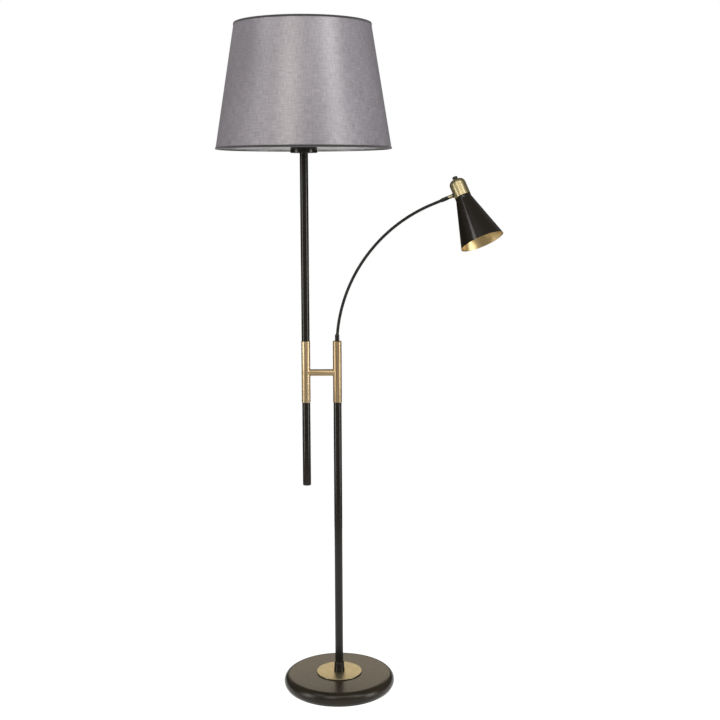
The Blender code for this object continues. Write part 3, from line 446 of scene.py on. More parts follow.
# ------------------------------------------------------------------ base
def make_base_cover():
    """The spun cover: a faint crown, a rolled edge and a foot that turns in."""
    _, low, high, half = size_of("base_cover")
    shoulder = high.z / 2
    edge = (half.x - shoulder, high.z - COVER_CROWN - shoulder)
    top = []
    for step in range(CROWN_STEPS):
        radius = PIPE_BORE + (edge[0] - PIPE_BORE) * step / CROWN_STEPS
        top.append((radius, high.z - COVER_CROWN * (radius / edge[0]) ** 2))
    roll = arc(edge, shoulder, 90, -35, 20)
    foot = roll[-1][0] - COVER_WALL
    outer = top + roll + [(foot, low.z)]
    inner = [(foot - COVER_WALL, low.z)] + arc(edge, shoulder - COVER_WALL, -35, 90, 16)
    inner += [(radius, height - COVER_WALL) for radius, height in reversed(top)]
    grommet, _, _, grommet_half = size_of("cord_grommet")
    inlet = rod(grommet_half.x - GROMMET_GRIP, 0.03, 32,
                shift(0, half.x, grommet.z) @ Matrix.Rotation(math.pi / 2, 4, "X"))
    shell = carved(spun(outer + inner, FINE), [inlet])
    finished("base_cover_spun", shell, BRONZE, "stand", ["base_cover"])


def make_rosette():
    _, low, high, half = size_of("base_rosette")
    disc = [(PIPE_BORE, high.z, 0), (half.x, high.z, 0.0007), (half.x, low.z, 0.0004),
            (PIPE_BORE, low.z, 0)]
    finished("rosette_disc", spun(softened(disc), FINE), ROSETTE_BRASS, "stand",
             ["base_rosette"])


def make_collar():
    """The turned collar round the lower pole's foot: a thin lip that widens downwards."""
    _, low, high, half = size_of("pole_collar")
    tall = high.z - low.z
    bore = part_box("lower_pole")[1].x + 0.0002
    lip = 0.0015
    collar = [(bore, high.z, 0), (bore + lip, high.z, 0.0004),
              (half.x * 0.925, low.z + tall * 0.45, 0.003), (half.x, low.z + tall / 6, 0.0015),
              (half.x, low.z, 0.0003), (bore, low.z, 0)]
    finished("collar_turned", spun(softened(collar)), BLACK, "stand", ["pole_collar"])


def make_floor_pad():
    _, low, high, half = size_of("base_pad")
    pad = [(0, high.z, 0), (half.x, high.z, 0.0006), (half.x, low.z, 0.0008), (0, low.z, 0)]
    finished("floor_pad_felt", spun(softened(pad), FINE, closed=False), FELT, "stand",
             ["base_pad"])


def make_grommet():
    """The rubber inlet: two flanges and a waist that sits in the cover's hole."""
    centre, low, high, half = size_of("cord_grommet")
    reach = high.y - low.y
    hole, waist, lip = 0.0026, half.x - 0.0017, 0.0012
    profile = [(hole, reach, 0.0004), (half.x - 0.001, reach, 0.0005),
               (half.x, reach - lip, 0.0003), (waist, reach - lip, 0), (waist, lip, 0),
               (half.x, lip, 0), (half.x, 0, 0.0004), (hole, 0, 0.0003)]
    inwards = shift(0, low.y, centre.z) @ Matrix.Rotation(-math.pi / 2, 4, "X")
    finished("inlet_grommet", spun(softened(profile), SMALL_ROUND), RUBBER, "stand",
             ["cord_grommet"], at=inwards)


# ------------------------------------------------------------------ poles and coupler
def make_pole(name, node):
    centre, low, high, half = size_of(node)
    bore = half.y - POLE_WALL
    outline = softened([(bore, high.z, 0), (half.y, high.z, 0.0003), (half.y, low.z, 0.0003),
                        (bore, low.z, 0)])
    finished(name, spun(outline), BLACK, "stand", [node],
             at=shift(centre.x, centre.y))


def make_tail_button():
    """The rubber button that closes the tail: a plug inside the tube and a lip below it."""
    centre, low, high, half = size_of("tail_end_plug")
    plug_radius, lip = 0.0078, 0.003
    button = [(0, high.z, 0), (plug_radius, high.z, 0.0005), (plug_radius, low.z + lip, 0),
              (half.x, low.z + lip, 0.0002), (half.x, low.z, 0.0014), (0, low.z, 0)]
    finished("tail_end_button", spun(softened(button), closed=False), RUBBER, "stand",
             ["tail_end_plug"], at=shift(centre.x))


def make_sleeves():
    left, low, high, half = size_of("left_sleeve")
    radius, bore = half.y, half.y - SLEEVE_WALL
    outline = softened([(bore, high.z, 0.0002), (radius, high.z, 0.0005),
                        (radius, low.z, 0.0005), (bore, low.z, 0.0002)])
    finished("left_sleeve_brass", spun(outline), BRASS_UPRIGHT, "stand", ["left_sleeve"],
             at=shift(left.x))
    screw, _, _, screw_half = size_of("sleeve_grub_screw")
    screw_hole = rod(screw_half.z + GAP, 0.012, 32, shift(radius, 0, screw.z) @ SIDEWAYS)
    finished("right_sleeve_brass", carved(spun(outline), [screw_hole]), BRASS_UPRIGHT, "stand",
             ["right_sleeve"])


def make_grub_screw():
    """A grub screw with a six-sided socket, sunk in the right sleeve."""
    centre, _, _, half = size_of("sleeve_grub_screw")
    length = half.x * 2
    shank = rod(half.z, length, 32)
    rims = [edge for edge in shank.edges if edge.calc_face_angle(0) > 1]
    bmesh.ops.bevel(shank, geom=rims, offset=0.0002, offset_type="OFFSET", segments=2,
                    profile=0.5, material=-1, affect="EDGES")
    socket = rod(0.0009, length / 2, 6, shift(0, 0, length / 2))
    finished("grub_screw_socket", carved(shank, [socket]), STEEL, "stand",
             ["sleeve_grub_screw"], at=shift(centre.x, 0, centre.z) @ SIDEWAYS)


def make_crossbar():
    """The bar between the sleeves, its ends flared where they meet them."""
    centre, _, _, half = size_of("crossbar")
    half_spacing = abs(size_of("left_sleeve")[0].x) / 2
    end = half_spacing - 0.0065
    sleeve_face = half_spacing - 0.01025
    flare = 0.0016
    flare_width = flare * 0.8
    side = [(half.z + flare_width, end), (half.z + flare_width, sleeve_face - 0.0001)]
    for angle in (15, 35, 60, 90):
        turn = math.radians(angle)
        side.append((half.z + flare_width * (1 - math.sin(turn)),
                     sleeve_face - flare * (1 - math.cos(turn))))
    outline = [(0, end)] + side + [(radius, -height) for radius, height in reversed(side)]
    outline.append((0, -end))
    finished("crossbar_brass", spun(outline, closed=False), BRASS_ACROSS, "stand",
             ["crossbar"], at=shift(centre.x, 0, centre.z) @ SIDEWAYS)


# ------------------------------------------------------------------ upper lampholder and bulb
def bulb_outline(neck, globe, length):
    """A globe of glass that runs down into its neck, top to bottom."""
    centre = length - globe
    lean = 42.0
    slack = 0.55                # how far the curve's handles reach
    ball = arc((0, centre), globe, 90, -lean, 22)
    start = Vector(ball[-1])
    fall = Vector((-math.sin(math.radians(lean)), -math.cos(math.radians(lean))))
    handle = start + fall * globe * slack
    end = Vector((neck, 0))
    steer = Vector((neck, start.y * slack))
    steps = 12
    curve = []
    for step in range(1, steps + 1):
        t = step / steps
        curve.append(tuple(start * (1 - t) ** 3 + handle * 3 * t * (1 - t) ** 2
                           + steer * 3 * t * t * (1 - t) + end * t ** 3))
    return ball + curve + [(0, 0)]


def screw_outline(radius, top, bottom, turns):
    """The side of a rolled lamp thread, top to bottom."""
    steps_per_turn = 6
    depth = 0.0005
    points = []
    for step in range(turns * steps_per_turn + 1):
        height = top + (bottom - top) * step / (turns * steps_per_turn)
        wave = math.cos(math.tau * step / steps_per_turn)
        points.append((radius - depth + depth * wave, height))
    return points


def ribbed(outline, ribs, beyond, depth):
    """A turned piece with grip ribs: past a radius, its side waves in and out by depth."""
    shape = spun(outline, ribs * 4)
    for vert in shape.verts:
        radius = math.hypot(vert.co.x, vert.co.y)
        if radius > beyond:
            turn = math.atan2(vert.co.y, vert.co.x) / math.tau * ribs
            pull = 1 - depth * (0.5 + 0.5 * math.cos(math.tau * turn)) / radius
            vert.co.x *= pull
            vert.co.y *= pull
    return shape


def make_holder_cup(here):
    """The turned cup under the lampholder."""
    _, low, high, half = size_of("holder_cup")
    wall = 0.0018
    cup = [(half.x, high.z, 0.0004), (half.x, low.z, 0.0012), (PIPE_BORE, low.z, 0),
           (PIPE_BORE, low.z + wall, 0), (half.x - wall, low.z + wall, 0.0006),
           (half.x - wall, high.z, 0.0004)]
    finished("holder_cup_turned", spun(softened(cup), 96), BLACK, "stand", ["holder_cup"],
             at=here)


def make_lampholder(here):
    """The moulded holder: its cap, its body, the shade's ring nut and the screw shell."""
    _, low, high, half = size_of("holder_cap")
    wall = 0.003
    cap = [(half.x, high.z, 0.0004), (half.x, low.z + wall, 0.0008),
           (half.x - wall, low.z, 0.001), (PIPE_BORE, low.z, 0), (PIPE_BORE, low.z + wall, 0),
           (half.x - wall, low.z + wall, 0), (half.x - wall, high.z, 0)]
    finished("lampholder_cap", spun(softened(cap)), PLASTIC, "stand", ["holder_cap"],
             at=here)

    _, low, high, half = size_of("holder_body")
    floor = low.z + 0.008
    wire_hole, cavity = 0.002, 0.0149
    body = [(half.x, high.z, 0.0006), (half.x, low.z, 0.0003), (wire_hole, low.z, 0),
            (wire_hole, floor, 0), (cavity, floor, 0), (cavity, high.z, 0.0004)]
    finished("lampholder_body", spun(softened(body)), PLASTIC, "stand", ["holder_body"],
             at=here)

    _, low, high, half = size_of("shade_ring_nut")
    nut = softened([(FITTER_BORE, high.z, 0.0003), (half.x, high.z, 0.0012),
                    (half.x, low.z, 0.0012), (FITTER_BORE, low.z, 0.0003)])
    finished("ring_nut_ribbed", ribbed(nut, 48, half.x - 0.0005, 0.0005), PLASTIC, "stand",
             ["shade_ring_nut"], at=here)

    _, low, high, half = size_of("holder_screw_shell")
    bore = half.x - 0.0006
    shell = spun([(half.x, high.z), (half.x, low.z), (bore, low.z), (bore, high.z)])
    finished("screw_shell_brass", shell, BRASS_UPRIGHT, "stand", ["holder_screw_shell"],
             at=here)


def make_main_bulb(here):
    _, low, high, half = size_of("main_bulb_cap")
    cap = [(0, high.z), (half.x, high.z)]
    cap += screw_outline(half.x, high.z - 0.003, low.z + 0.0055, 5)
    cap += [(half.x * 0.6, low.z + 0.002), (half.x / 3, low.z), (0, low.z)]
    finished("main_bulb_thread", spun(cap, closed=False), STEEL, "stand", ["main_bulb_cap"],
             at=here)
    _, low, high, half = size_of("main_bulb_glass")
    glass = spun(bulb_outline(0.0145, half.x, high.z - low.z), closed=False)
    finished("main_bulb_opal", glass, OPAL, "stand", ["main_bulb_glass"],
             at=here @ shift(z=low.z))


# ------------------------------------------------------------------ shade
SHADE_CENTRE, _, SHADE_HIGH, _ = size_of("shade_fabric")
SLOPE = math.atan2(BOTTOM_RADIUS - TOP_RADIUS, SHADE_TALL)
SLANT = math.hypot(BOTTOM_RADIUS - TOP_RADIUS, SHADE_TALL)
SHADE_Z = SHADE_HIGH.z + TAPE + GAP - SHADE_TALL
WIRE_DEPTH = SHADE_WALL + GAP + WIRE    # from the cloth's face in to the middle of a ring


def on_wall(along, outward):
    """A point of the shade's section, along its slant from the lower edge."""
    radius = BOTTOM_RADIUS - along * math.sin(SLOPE)
    height = SHADE_Z + along * math.cos(SLOPE)
    return (radius + outward * math.cos(SLOPE), height + outward * math.sin(SLOPE))


def cloth_shell(outer, inner, low, high):
    """A thin cone of cloth or card, with its own map in metres round and up."""
    rows = [low + (high - low) * row / CLOTH_ROWS for row in range(CLOTH_ROWS + 1)]
    outline = [on_wall(along, outer) for along in rows]
    outline += [on_wall(along, inner) for along in reversed(rows)]
    shape = spun(outline, CLOTH_ROUND)
    layer = shape.loops.layers.uv.new("weave")
    mean = (BOTTOM_RADIUS + TOP_RADIUS) / 2
    for face in shape.faces:
        middle = face.calc_center_median()
        front = math.atan2(middle.y, middle.x)
        for loop in face.loops:
            turn = math.atan2(loop.vert.co.y, loop.vert.co.x)
            turn = front + (turn - front + math.pi) % math.tau - math.pi
            loop[layer].uv = (turn * mean, (loop.vert.co.z - SHADE_Z) / math.cos(SLOPE))
    return shape


def make_cloth(here):
    """The cloth, lapped at its seam behind, and the card that it is ironed on."""
    low, high = TAPE + GAP, SLANT - TAPE - GAP
    cloth = cloth_shell(0, -CLOTH, low, high)
    for vert in cloth.verts:
        turn = math.atan2(vert.co.y, vert.co.x) - math.pi / 2
        lift = SEAM_STEP * max(0, min(1, (SEAM_HALF_ANGLE - abs(turn)) * 200 + 0.5))
        grow = 1 + lift / math.hypot(vert.co.x, vert.co.y)
        vert.co.x *= grow
        vert.co.y *= grow
    shade = finished("shade_cloth", cloth, CLOTH_LOOK, "stand", ["shade_fabric"],
                     at=here)
    lining = finished("shade_lining", cloth_shell(-CLOTH, -SHADE_WALL, low, high), LINING,
                      "stand", (), at=here)


def make_tape(name, node, edge, way, here):
    """Tape turned over a rim: from outside the cloth to behind the wire."""
    behind = -WIRE_DEPTH - WIRE - GAP
    start, web = edge + way * TAPE_WIDTH, edge + way * TAPE
    corners = [(*on_wall(start, GAP + TAPE), 0.0003), (*on_wall(edge, GAP + TAPE), 0.0006),
               (*on_wall(edge, behind), 0.0002), (*on_wall(web, behind), 0.0002),
               (*on_wall(web, GAP), 0), (*on_wall(start, GAP), 0.0001)]
    finished(name, spun(softened(corners), CLOTH_ROUND), TAPE_LOOK, "stand", [node],
             at=here)


def join(shape, other):
    """Adds another shape to a shape."""
    mesh = bpy.data.meshes.new("joining")
    other.to_mesh(mesh)
    other.free()
    shape.from_mesh(mesh)
    bpy.data.meshes.remove(mesh)


def make_shade_wires(here):
    """The top ring, and the bottom ring with its three spokes and the fitter's hub."""
    inset = TAPE + GAP + WIRE
    top = spun(arc(on_wall(SLANT - inset, -WIRE_DEPTH), WIRE, 0, 330, 11), FINE)
    finished("top_wire_ring", top, STEEL, "stand", ["shade_top_ring"], at=here)

    rim = on_wall(inset, -WIRE_DEPTH)
    wires = spun(arc(rim, WIRE, 0, 330, 11), FINE)
    hub_high = size_of("shade_bottom_frame")[2].z
    hub_low = hub_high - 0.002
    hub_radius = 0.0265
    hub = spun(softened([(FITTER_BORE, hub_high, 0.0003), (hub_radius, hub_high, 0.0005),
                         (hub_radius, hub_low, 0.0005), (FITTER_BORE, hub_low, 0.0003)]))
    inner = Vector((0.0239, 0, (hub_low + hub_high) / 2 - 0.0003))
    outer = Vector((rim[0], 0, rim[1]))
    lean = (outer - inner).to_track_quat("Z", "Y").to_matrix().to_4x4()
    for index in range(SPOKES):
        turn = Matrix.Rotation(math.pi / 2 + index * math.tau / SPOKES, 4, "Z")
        spoke = rod(WIRE, (outer - inner).length, 12,
                    turn @ Matrix.Translation((inner + outer) / 2) @ lean)
        join(wires, spoke)
    join(wires, hub)
    finished("fitter_frame", wires, STEEL, "stand", ["shade_bottom_frame"], at=here)


# ------------------------------------------------------------------ gooseneck
PIVOTS = [Vector(joint("neck_bend_%02d" % (index + 1))["pos_m"]) for index in range(NECK_LINKS)]
HEAD_POINT = Vector(joint("head_turn")["pos_m"])
ARM_END = Vector(joint("head_turn")["axis"]).normalized()
LINK = (PIVOTS[1] - PIVOTS[0]).length


def hose_path():
    """Each pivot's bend: (start, corner, end, way in, way out), from middle to middle of links."""
    stops = []
    foot = PIVOTS[0] - Vector((0, 0, LINK / 2))
    line = [foot] + PIVOTS + [PIVOTS[-1] + ARM_END * LINK]
    for previous, corner, following in zip(line, line[1:], line[2:]):
        before = (corner - previous).normalized()
        after = (following - corner).normalized()
        stops.append((corner - before * (LINK / 2), corner, corner + after * (LINK / 2),
                      before, after))
    return stops


HOSE_STOPS = hose_path()


def hose_section(index, low, high):
    """A length of wound hose about pivot index, from low to high shares of its curve."""
    start, corner, end, before, after = HOSE_STOPS[index]
    # A disc is drawn up ring by ring, then each ring is laid on the curve.
    rings = max(2, round((high - low) * LINK / HOSE_PITCH * RINGS_PER_PITCH))
    shape = bmesh.new()
    bmesh.ops.create_circle(shape, cap_ends=True, segments=HOSE_ROUND, radius=HOSE_RADIUS)
    face = shape.faces[:]
    for _ in range(rings):
        grown = bmesh.ops.extrude_face_region(shape, geom=face)["geom"]
        face = [item for item in grown if isinstance(item, bmesh.types.BMFace)]
        risen = [item for item in grown if isinstance(item, bmesh.types.BMVert)]
        bmesh.ops.translate(shape, verts=risen, vec=(0, 0, 1.0))
    inner_discs = []
    for disc in shape.faces:
        if len(disc.verts) > 4 and 0.5 < disc.calc_center_median().z < rings - 0.5:
            inner_discs.append(disc)
    if inner_discs:
        bmesh.ops.delete(shape, geom=inner_discs, context="FACES_ONLY")
    for vert in shape.verts:
        share = low + (high - low) * vert.co.z / rings
        along = (index + share) * LINK
        around = math.atan2(vert.co.y, vert.co.x)
        swell = HOSE_RIB * (math.cos(around + math.tau * along / HOSE_PITCH) - 1)
        rim = 1 + swell / HOSE_RADIUS
        middle = start * (1 - share) ** 2 + corner * 2 * share * (1 - share) + end * share ** 2
        way = (before * (1 - share) + after * share).normalized()
        side = Vector((way.z, 0, -way.x))
        vert.co = middle + side * vert.co.x * rim + Vector((0, 1, 0)) * vert.co.y * rim
    bmesh.ops.recalc_face_normals(shape, faces=shape.faces)
    return shape


def make_foot_ferrule():
    """The cup that the hose is crimped in, on a spigot that turns in the right sleeve."""
    _, low, high, half = size_of("lower_ferrule")
    seat = joint("neck_turn")["pos_m"][2]
    mouth = HOSE_RADIUS + 0.0001
    spigot, bore, crimp = 0.0042, 0.002, 0.004
    profile = [(mouth, high.z, 0.0001), (mouth + 0.0006, high.z, 0.0002),
               (half.x, high.z - 0.0030, 0.0008), (half.x, seat, 0.0003), (spigot, seat, 0),
               (spigot, low.z, 0.0003), (bore, low.z, 0), (bore, high.z - crimp, 0),
               (mouth, high.z - crimp, 0)]
    finished("foot_ferrule", spun(softened(profile), SMALL_ROUND), BLACK, "neck_root",
             ["lower_ferrule"])


def make_hose():
    """The wound hose, one blended length for each pivot, and its straight end."""
    for index, (_, corner, _, before, after) in enumerate(HOSE_STOPS):
        low = 0.5 - 0.0045 / LINK if index == 0 else 0.0
        piece = finished("hose_%02d" % (index + 1), hose_section(index, low, 1.0), NECK_BLACK,
                         None, ["neck_link_%02d" % (index + 1)], sharp=60)
        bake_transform(piece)
    crimp = 0.004
    last = rod(HOSE_RADIUS - HOSE_RIB, LINK / 2 + crimp, HOSE_ROUND)
    turn = ARM_END.to_track_quat("Z", "Y").to_matrix().to_4x4()
    middle = PIVOTS[-1] + ARM_END * (LINK * 0.75 + crimp / 2)
    finished("hose_end", last, NECK_BLACK, "neck_10", (),
             at=Matrix.Translation(middle) @ turn)


# ------------------------------------------------------------------ swivel
def frame_at(point, up, along):
    """A matrix with local Z up and local X along, at a point."""
    across = up.cross(along)
    turned = Matrix((along, across, up)).transposed().to_4x4()
    return Matrix.Translation(point) @ turned


def make_swivel():
    """The hose's end ferrule, the brass spigot with its groove, and the rubber washer."""
    arm = frame_at(PIVOTS[-1], ARM_END, Vector((ARM_END.z, 0, -ARM_END.x)))
    bore = 0.0020
    grip_radius, start = 0.0046, LINK + GAP
    end = start + FERRULE_LENGTH
    grip = [(bore, end, 0), (0.0038, end, 0.0003), (grip_radius, start + 0.0168, 0.0008),
            (grip_radius, start + 0.0030, 0.0008), (0.0037, start, 0.0003), (bore, start, 0)]
    finished("end_ferrule", spun(softened(grip), SMALL_ROUND), BLACK, "neck_10",
             ["upper_ferrule"], at=arm)

    start = end + GAP
    end = start + SPIGOT_LENGTH
    spigot, thread, groove, thread_end = 0.0045, 0.0035, 0.0041, end + 0.0045
    neck = [(bore, thread_end, 0), (thread, thread_end, 0.0002), (thread, end, 0),
            (spigot, end, 0.0005), (spigot, end - 0.0018, 0.0002),
            (groove, end - 0.0022, 0.0002), (groove, end - 0.0030, 0.0002),
            (spigot, end - 0.0034, 0.0002), (spigot, start, 0.0006), (bore, start, 0)]
    finished("swivel_brass", spun(softened(neck), SMALL_ROUND), SWIVEL_BRASS, "neck_10",
             ["swivel_nipple"], at=arm)

    start = end + GAP
    end = start + 0.0018
    bore, radius = 0.0038, 0.0054
    washer = [(bore, end, 0), (radius, end, 0.0004), (radius, start, 0.0004), (bore, start, 0)]
    finished("swivel_ring", spun(softened(washer), SMALL_ROUND), RUBBER, "neck_10",
             ["swivel_washer"], at=arm)


# ------------------------------------------------------------------ spot head
HEAD_UP = Vector(joint("knob_turn")["axis"]).normalized()
HEAD_FRAME = frame_at(HEAD_POINT, HEAD_UP, ARM_END)
# The streaks and the painted reflection bands run up the head's own axis.
TO_HEAD = HEAD_FRAME.inverted()
HEAD_BRASS = brushed_brass("brass_brushed_head", 2, GREEN_BRASS, TO_HEAD.to_euler(),
                           TO_HEAD.translation)
SWIVEL_BRASS = brushed_brass("brass_turned_swivel", 1, GREEN_BRASS)


def make_head_cap():
    """The brass cap: a straight skirt under a round shoulder, bored for the swivel and switch."""
    shoulder = HEAD_RADIUS - HEAD_FLAT
    hub = (HEAD_FLAT, HEAD_TOP - shoulder)
    outer = [(SWITCH_BORE, HEAD_TOP)] + arc(hub, shoulder, 90, 0, 20)
    outer += [(HEAD_RADIUS, -HEAD_SKIRT + 0.0003), (HEAD_RADIUS - 0.0003, -HEAD_SKIRT)]
    inner = [(HEAD_RADIUS - HEAD_WALL, -HEAD_SKIRT)]
    inner += arc(hub, shoulder - HEAD_WALL, 0, 90, 16) + [(SWITCH_BORE, HEAD_TOP - HEAD_WALL)]
    side_hole = rod(0.0038, HEAD_RADIUS, 32, shift(-HEAD_RADIUS) @ SIDEWAYS)
    cap = carved(spun(outer + inner, HEAD_ROUND), [side_hole])
    finished("head_cap_brass", cap, HEAD_BRASS, "head", ["head_cap"], at=HEAD_FRAME)


def make_spot_cone():
    """The spun cone, black outside and gold inside, hung from the holder by its flange."""
    neck_end = SPOT_TOP - SPOT_NECK_HEIGHT
    mouth = SPOT_TOP - SPOT_LENGTH
    slope = math.atan2(SPOT_MOUTH_RADIUS - SPOT_NECK_RADIUS, neck_end - mouth)
    wall = SPOT_WALL / math.cos(slope)
    neck = [(SPOT_FLANGE, SPOT_TOP), (SPOT_NECK_RADIUS - 0.0010, SPOT_TOP),
            (SPOT_NECK_RADIUS - 0.0003, SPOT_TOP - 0.0003), (SPOT_NECK_RADIUS, SPOT_TOP - 0.001)]
    cone = []
    for row in range(CONE_ROWS + 1):
        share = row / CONE_ROWS
        cone.append((SPOT_NECK_RADIUS + (SPOT_MOUTH_RADIUS - SPOT_NECK_RADIUS) * share,
                     neck_end + (mouth - neck_end) * share))
    inside = [(radius - wall, height) for radius, height in reversed(cone)]
    inside += [(SPOT_NECK_RADIUS - SPOT_WALL, neck_end + 0.001),
               (SPOT_NECK_RADIUS - SPOT_WALL, SPOT_TOP - SPOT_WALL),
               (SPOT_FLANGE, SPOT_TOP - SPOT_WALL)]
    shade = spun(neck + cone + inside, HEAD_ROUND)
    for face in shade.faces:
        centre = face.calc_center_median()
        outward = Vector((centre.x, centre.y, 0)).dot(face.normal)
        within = outward < 0 and centre.z < SPOT_TOP - 0.002
        on_rim = abs(centre.z - mouth) < 1e-5
        face.material_index = 1 if within or on_rim else 0
    finished("spot_cone", shade, [BLACK, GOLD], "head", ["spot_shade"],
             at=HEAD_FRAME)


def make_spot_lamp():
    """The small lampholder, its ring nut under the cone's flange, and its bulb."""
    top, radius, flange, bore = 0.0095, 0.012, 0.0145, 0.0077
    low = top - SPOT_HOLDER_LENGTH
    ledge = SPOT_TOP + GAP
    ledge_top = ledge + 0.0025
    floor = low + 0.022
    holder = [(0, top, 0), (radius, top, 0.0008), (radius, ledge_top, 0),
              (flange, ledge_top, 0.0004), (flange, ledge, 0), (radius, ledge, 0),
              (radius, low, 0.0006), (bore, low, 0.0003), (bore, floor, 0), (0, floor, 0)]
    finished("spot_lampholder_body", spun(softened(holder), closed=False), PLASTIC, "head",
             ["spot_lampholder"], at=HEAD_FRAME)

    nut_top = SPOT_TOP - SPOT_WALL - 2 * GAP
    nut_low, nut_radius = nut_top - 0.0032, 0.0172
    nut = softened([(SPOT_FLANGE, nut_top, 0), (nut_radius, nut_top, 0.0004),
                    (nut_radius, nut_low, 0.0006), (SPOT_FLANGE, nut_low, 0)])
    finished("spot_ring_ribbed", ribbed(nut, 36, 0.0170, 0.0004), PLASTIC, "head",
             ["spot_ring_nut"], at=HEAD_FRAME)

    cap_end = low - GAP
    cap = [(0, cap_end + 0.022), (0.0024, cap_end + 0.022), (0.0040, cap_end + 0.0205)]
    cap += screw_outline(0.0068, cap_end + 0.0185, cap_end + 0.002, 5) + [(0, cap_end)]
    finished("spot_bulb_thread", spun(cap, SMALL_ROUND, closed=False), STEEL, "head",
             ["spot_bulb_cap"], at=HEAD_FRAME)
    glass = spun(bulb_outline(0.0085, 0.0225, 0.052), closed=False)
    flip = shift(z=cap_end - GAP) @ Matrix.Rotation(math.pi, 4, "X")
    finished("spot_bulb_opal", glass, OPAL, "head", ["spot_bulb_glass"],
             at=HEAD_FRAME @ flip)


def make_switch():
    """The rotary switch on the cap: its collar nut and its ribbed knob."""
    low = HEAD_TOP + GAP
    high, radius = low + 0.0014, 0.0048
    collar = [(SWITCH_BORE, high, 0), (radius, high, 0.0004), (radius, low, 0.0001),
              (SWITCH_BORE, low, 0)]
    finished("switch_collar", spun(softened(collar), SMALL_ROUND), BLACK, "head",
             ["switch_nut"], at=HEAD_FRAME)

    stem = frame_at(Vector(joint("knob_turn")["pos_m"]), HEAD_UP, ARM_END)
    tall, radius, shaft, shaft_end = 0.0056, 0.0062, 0.0014, -0.008
    knob = [(0, tall, 0), (radius - 0.0012, tall, 0.001), (radius, tall - 0.0014, 0.0008),
            (radius, tall / 4, 0.0004), (radius * 0.8, 0, 0.0003), (shaft, 0, 0),
            (shaft, shaft_end, 0), (0, shaft_end, 0)]
    grip = ribbed(softened(knob), 18, radius - 0.0004, 0.0003)
    finished("switch_knob_ribbed", grip, PLASTIC, "knob", ["switch_knob"],
             at=stem)


# ------------------------------------------------------------------ inner parts
def paint_inner_parts():
    """Gives the hidden pieces, which keep their plain shapes, their own metals and plastics."""
    looks = {
        "base_weight": IRON, "base_nipple": STEEL, "base_washer": STEEL, "base_lock_nut": STEEL,
        "pole_foot_bush": STEEL, "coupler_core": STEEL, "upper_joiner": STEEL,
        "tail_joiner": STEEL, "holder_stud": STEEL, "supply_lead": SHEATH,
        "swivel_lock_nut": STEEL, "switch_body": PLASTIC,
    }
    for node, look in looks.items():
        mesh = frame["nodes"][node].data
        mesh.materials.clear()
        mesh.materials.append(look)


# ------------------------------------------------------------------ studio
def make_floor():
    """A round of lit white paper under the lamp."""
    paper, _, shader = new_material("white_paper_floor", Roughness=0.9, Emission_Strength=1.0)
    shader.inputs["Base Color"].default_value = (0.1, 0.1, 0.1, 1)
    shader.inputs["Emission Color"].default_value = (1, 1, 1, 1)
    ground = bmesh.new()
    bmesh.ops.create_circle(ground, cap_ends=True, segments=96, radius=FLOOR_RADIUS)
    finished("floor", ground, paper, None)


def make_world():
    """A dim room, lighter upwards and in front, that the camera itself sees as white."""
    world = bpy.data.worlds.new("studio")
    bpy.context.scene.world = world
    world.use_nodes = True
    tree = world.node_tree
    room = tree.nodes["Background"]
    coords = add_node(tree, "TexCoord")
    way = add_node(tree, "SeparateXYZ", {"Vector": coords.outputs["Generated"]})
    rise = add_node(tree, "MapRange", {"Value": way.outputs["Z"], "From Min": 0.1,
                                       "From Max": 0.45, "To Min": 0.03, "To Max": 0.25})
    front = add_node(tree, "MapRange", {"Value": way.outputs["Y"], "From Min": -0.4,
                                        "From Max": -0.8, "To Min": 0.0, "To Max": 0.3})
    glow = add_node(tree, "Math", {0: rise.outputs["Result"], 1: front.outputs["Result"]},
                    operation="ADD")
    room.inputs["Color"].default_value = (1, 0.97, 0.93, 1)
    tree.links.new(glow.outputs[0], room.inputs["Strength"])
    white = add_node(tree, "Background", {"Color": (1, 1, 1, 1), "Strength": 1.0})
    seen = add_node(tree, "LightPath")
    mixed = add_node(tree, "MixShader", {"Fac": seen.outputs["Is Camera Ray"],
                                         1: room.outputs[0], 2: white.outputs[0]})
    tree.links.new(mixed.outputs[0], tree.nodes["World Output"].inputs["Surface"])


def softbox(name, centre, target, width, height, power, colour="#ffffff"):
    """A rectangular light, in metres and watts, aimed at a target."""
    lamp = bpy.data.lights.new(name, "AREA")
    lamp.shape = "RECTANGLE"
    lamp.size = width
    lamp.size_y = height
    lamp.energy = power
    lamp.color = srgb(colour)[:3]
    item = bpy.data.objects.new(name, lamp)
    bpy.context.scene.collection.objects.link(item)
    aim = (Vector(target) - Vector(centre)).to_track_quat("-Z", "Y")
    item.matrix_world = Matrix.Translation(centre) @ aim.to_matrix().to_4x4()
    item.visible_camera = False


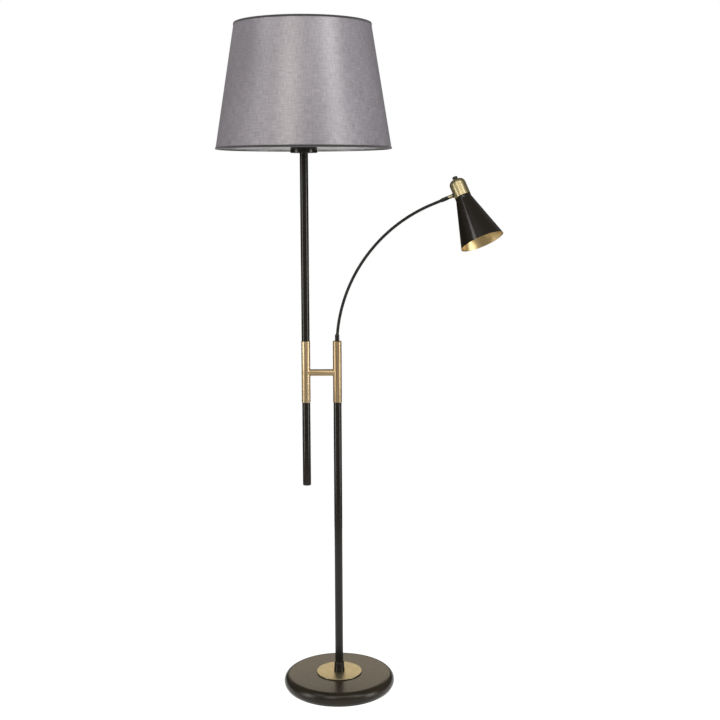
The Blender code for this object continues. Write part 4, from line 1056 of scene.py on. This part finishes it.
def make_lights():
    softbox("left_strip", (-1.85, -0.85, 0.75), (-0.03, 0, 0.75), 0.7, 1.5, 21)
    softbox("right_strip", (1.95, -0.85, 0.75), (0.05, 0, 0.75), 0.7, 1.5, 24)
    softbox("front_left_bank", (-0.85, -2.4, 2.3), (-0.05, 0, 1.3), 0.9, 0.9, 18, "#fff6ec")
    softbox("front_right_bank", (1.85, -1.75, 2.2), (-0.05, 0, 1.3), 0.6, 0.9, 16)
    softbox("overhead", (0, -1.7, 3.0), (0, 0, 0.8), 2.0, 0.5, 16)
    softbox("high_left", (-1.3, -0.75, 2.35), (0, 0, 0.2), 0.5, 0.5, 6)
    softbox("high_right", (1.0, -1.15, 2.35), (0, 0, 0.2), 0.5, 0.5, 6)
    softbox("back_panel", (0, 1.35, 0.64), (0, 0, 0.03), 1.4, 0.6, 4.5, "#ffeed2")


def make_camera():
    lens = bpy.data.cameras.new("camera")
    lens.sensor_width = 36
    lens.lens = 59.37
    lens.shift_y = -40 / 720
    item = bpy.data.objects.new("camera", lens)
    bpy.context.scene.collection.objects.link(item)
    item.matrix_world = (shift(0.0532, -2.7289, 1.1970)
                         @ Matrix.Rotation(math.radians(83.37), 4, "X")
                         @ Matrix.Rotation(math.radians(-0.253), 4, "Z"))
    bpy.context.scene.camera = item


# ------------------------------------------------------------------ the lamp, from the floor up
make_base_cover()
make_rosette()
make_collar()
make_floor_pad()
make_grommet()

make_pole("lower_pole_tube", "lower_pole")
make_pole("upper_pole_tube", "upper_pole")
make_pole("tail_pole_tube", "tail_tube")
make_tail_button()
make_sleeves()
make_grub_screw()
make_crossbar()

UPPER_AXIS = shift(size_of("holder_cup")[0].x)
make_holder_cup(UPPER_AXIS)
make_lampholder(UPPER_AXIS)
make_main_bulb(UPPER_AXIS)

SHADE_AXIS = shift(SHADE_CENTRE.x)
make_cloth(SHADE_AXIS)
make_tape("bottom_tape", "shade_bottom_trim", 0.0, 1, SHADE_AXIS)
make_tape("top_tape", "shade_top_trim", SLANT, -1, SHADE_AXIS)
make_shade_wires(SHADE_AXIS)

make_foot_ferrule()
make_hose()
make_swivel()
make_head_cap()
make_spot_cone()
make_spot_lamp()
make_switch()
paint_inner_parts()

bpy.context.scene.view_settings.view_transform = "Standard"
make_floor()
make_world()
make_lights()
make_camera()
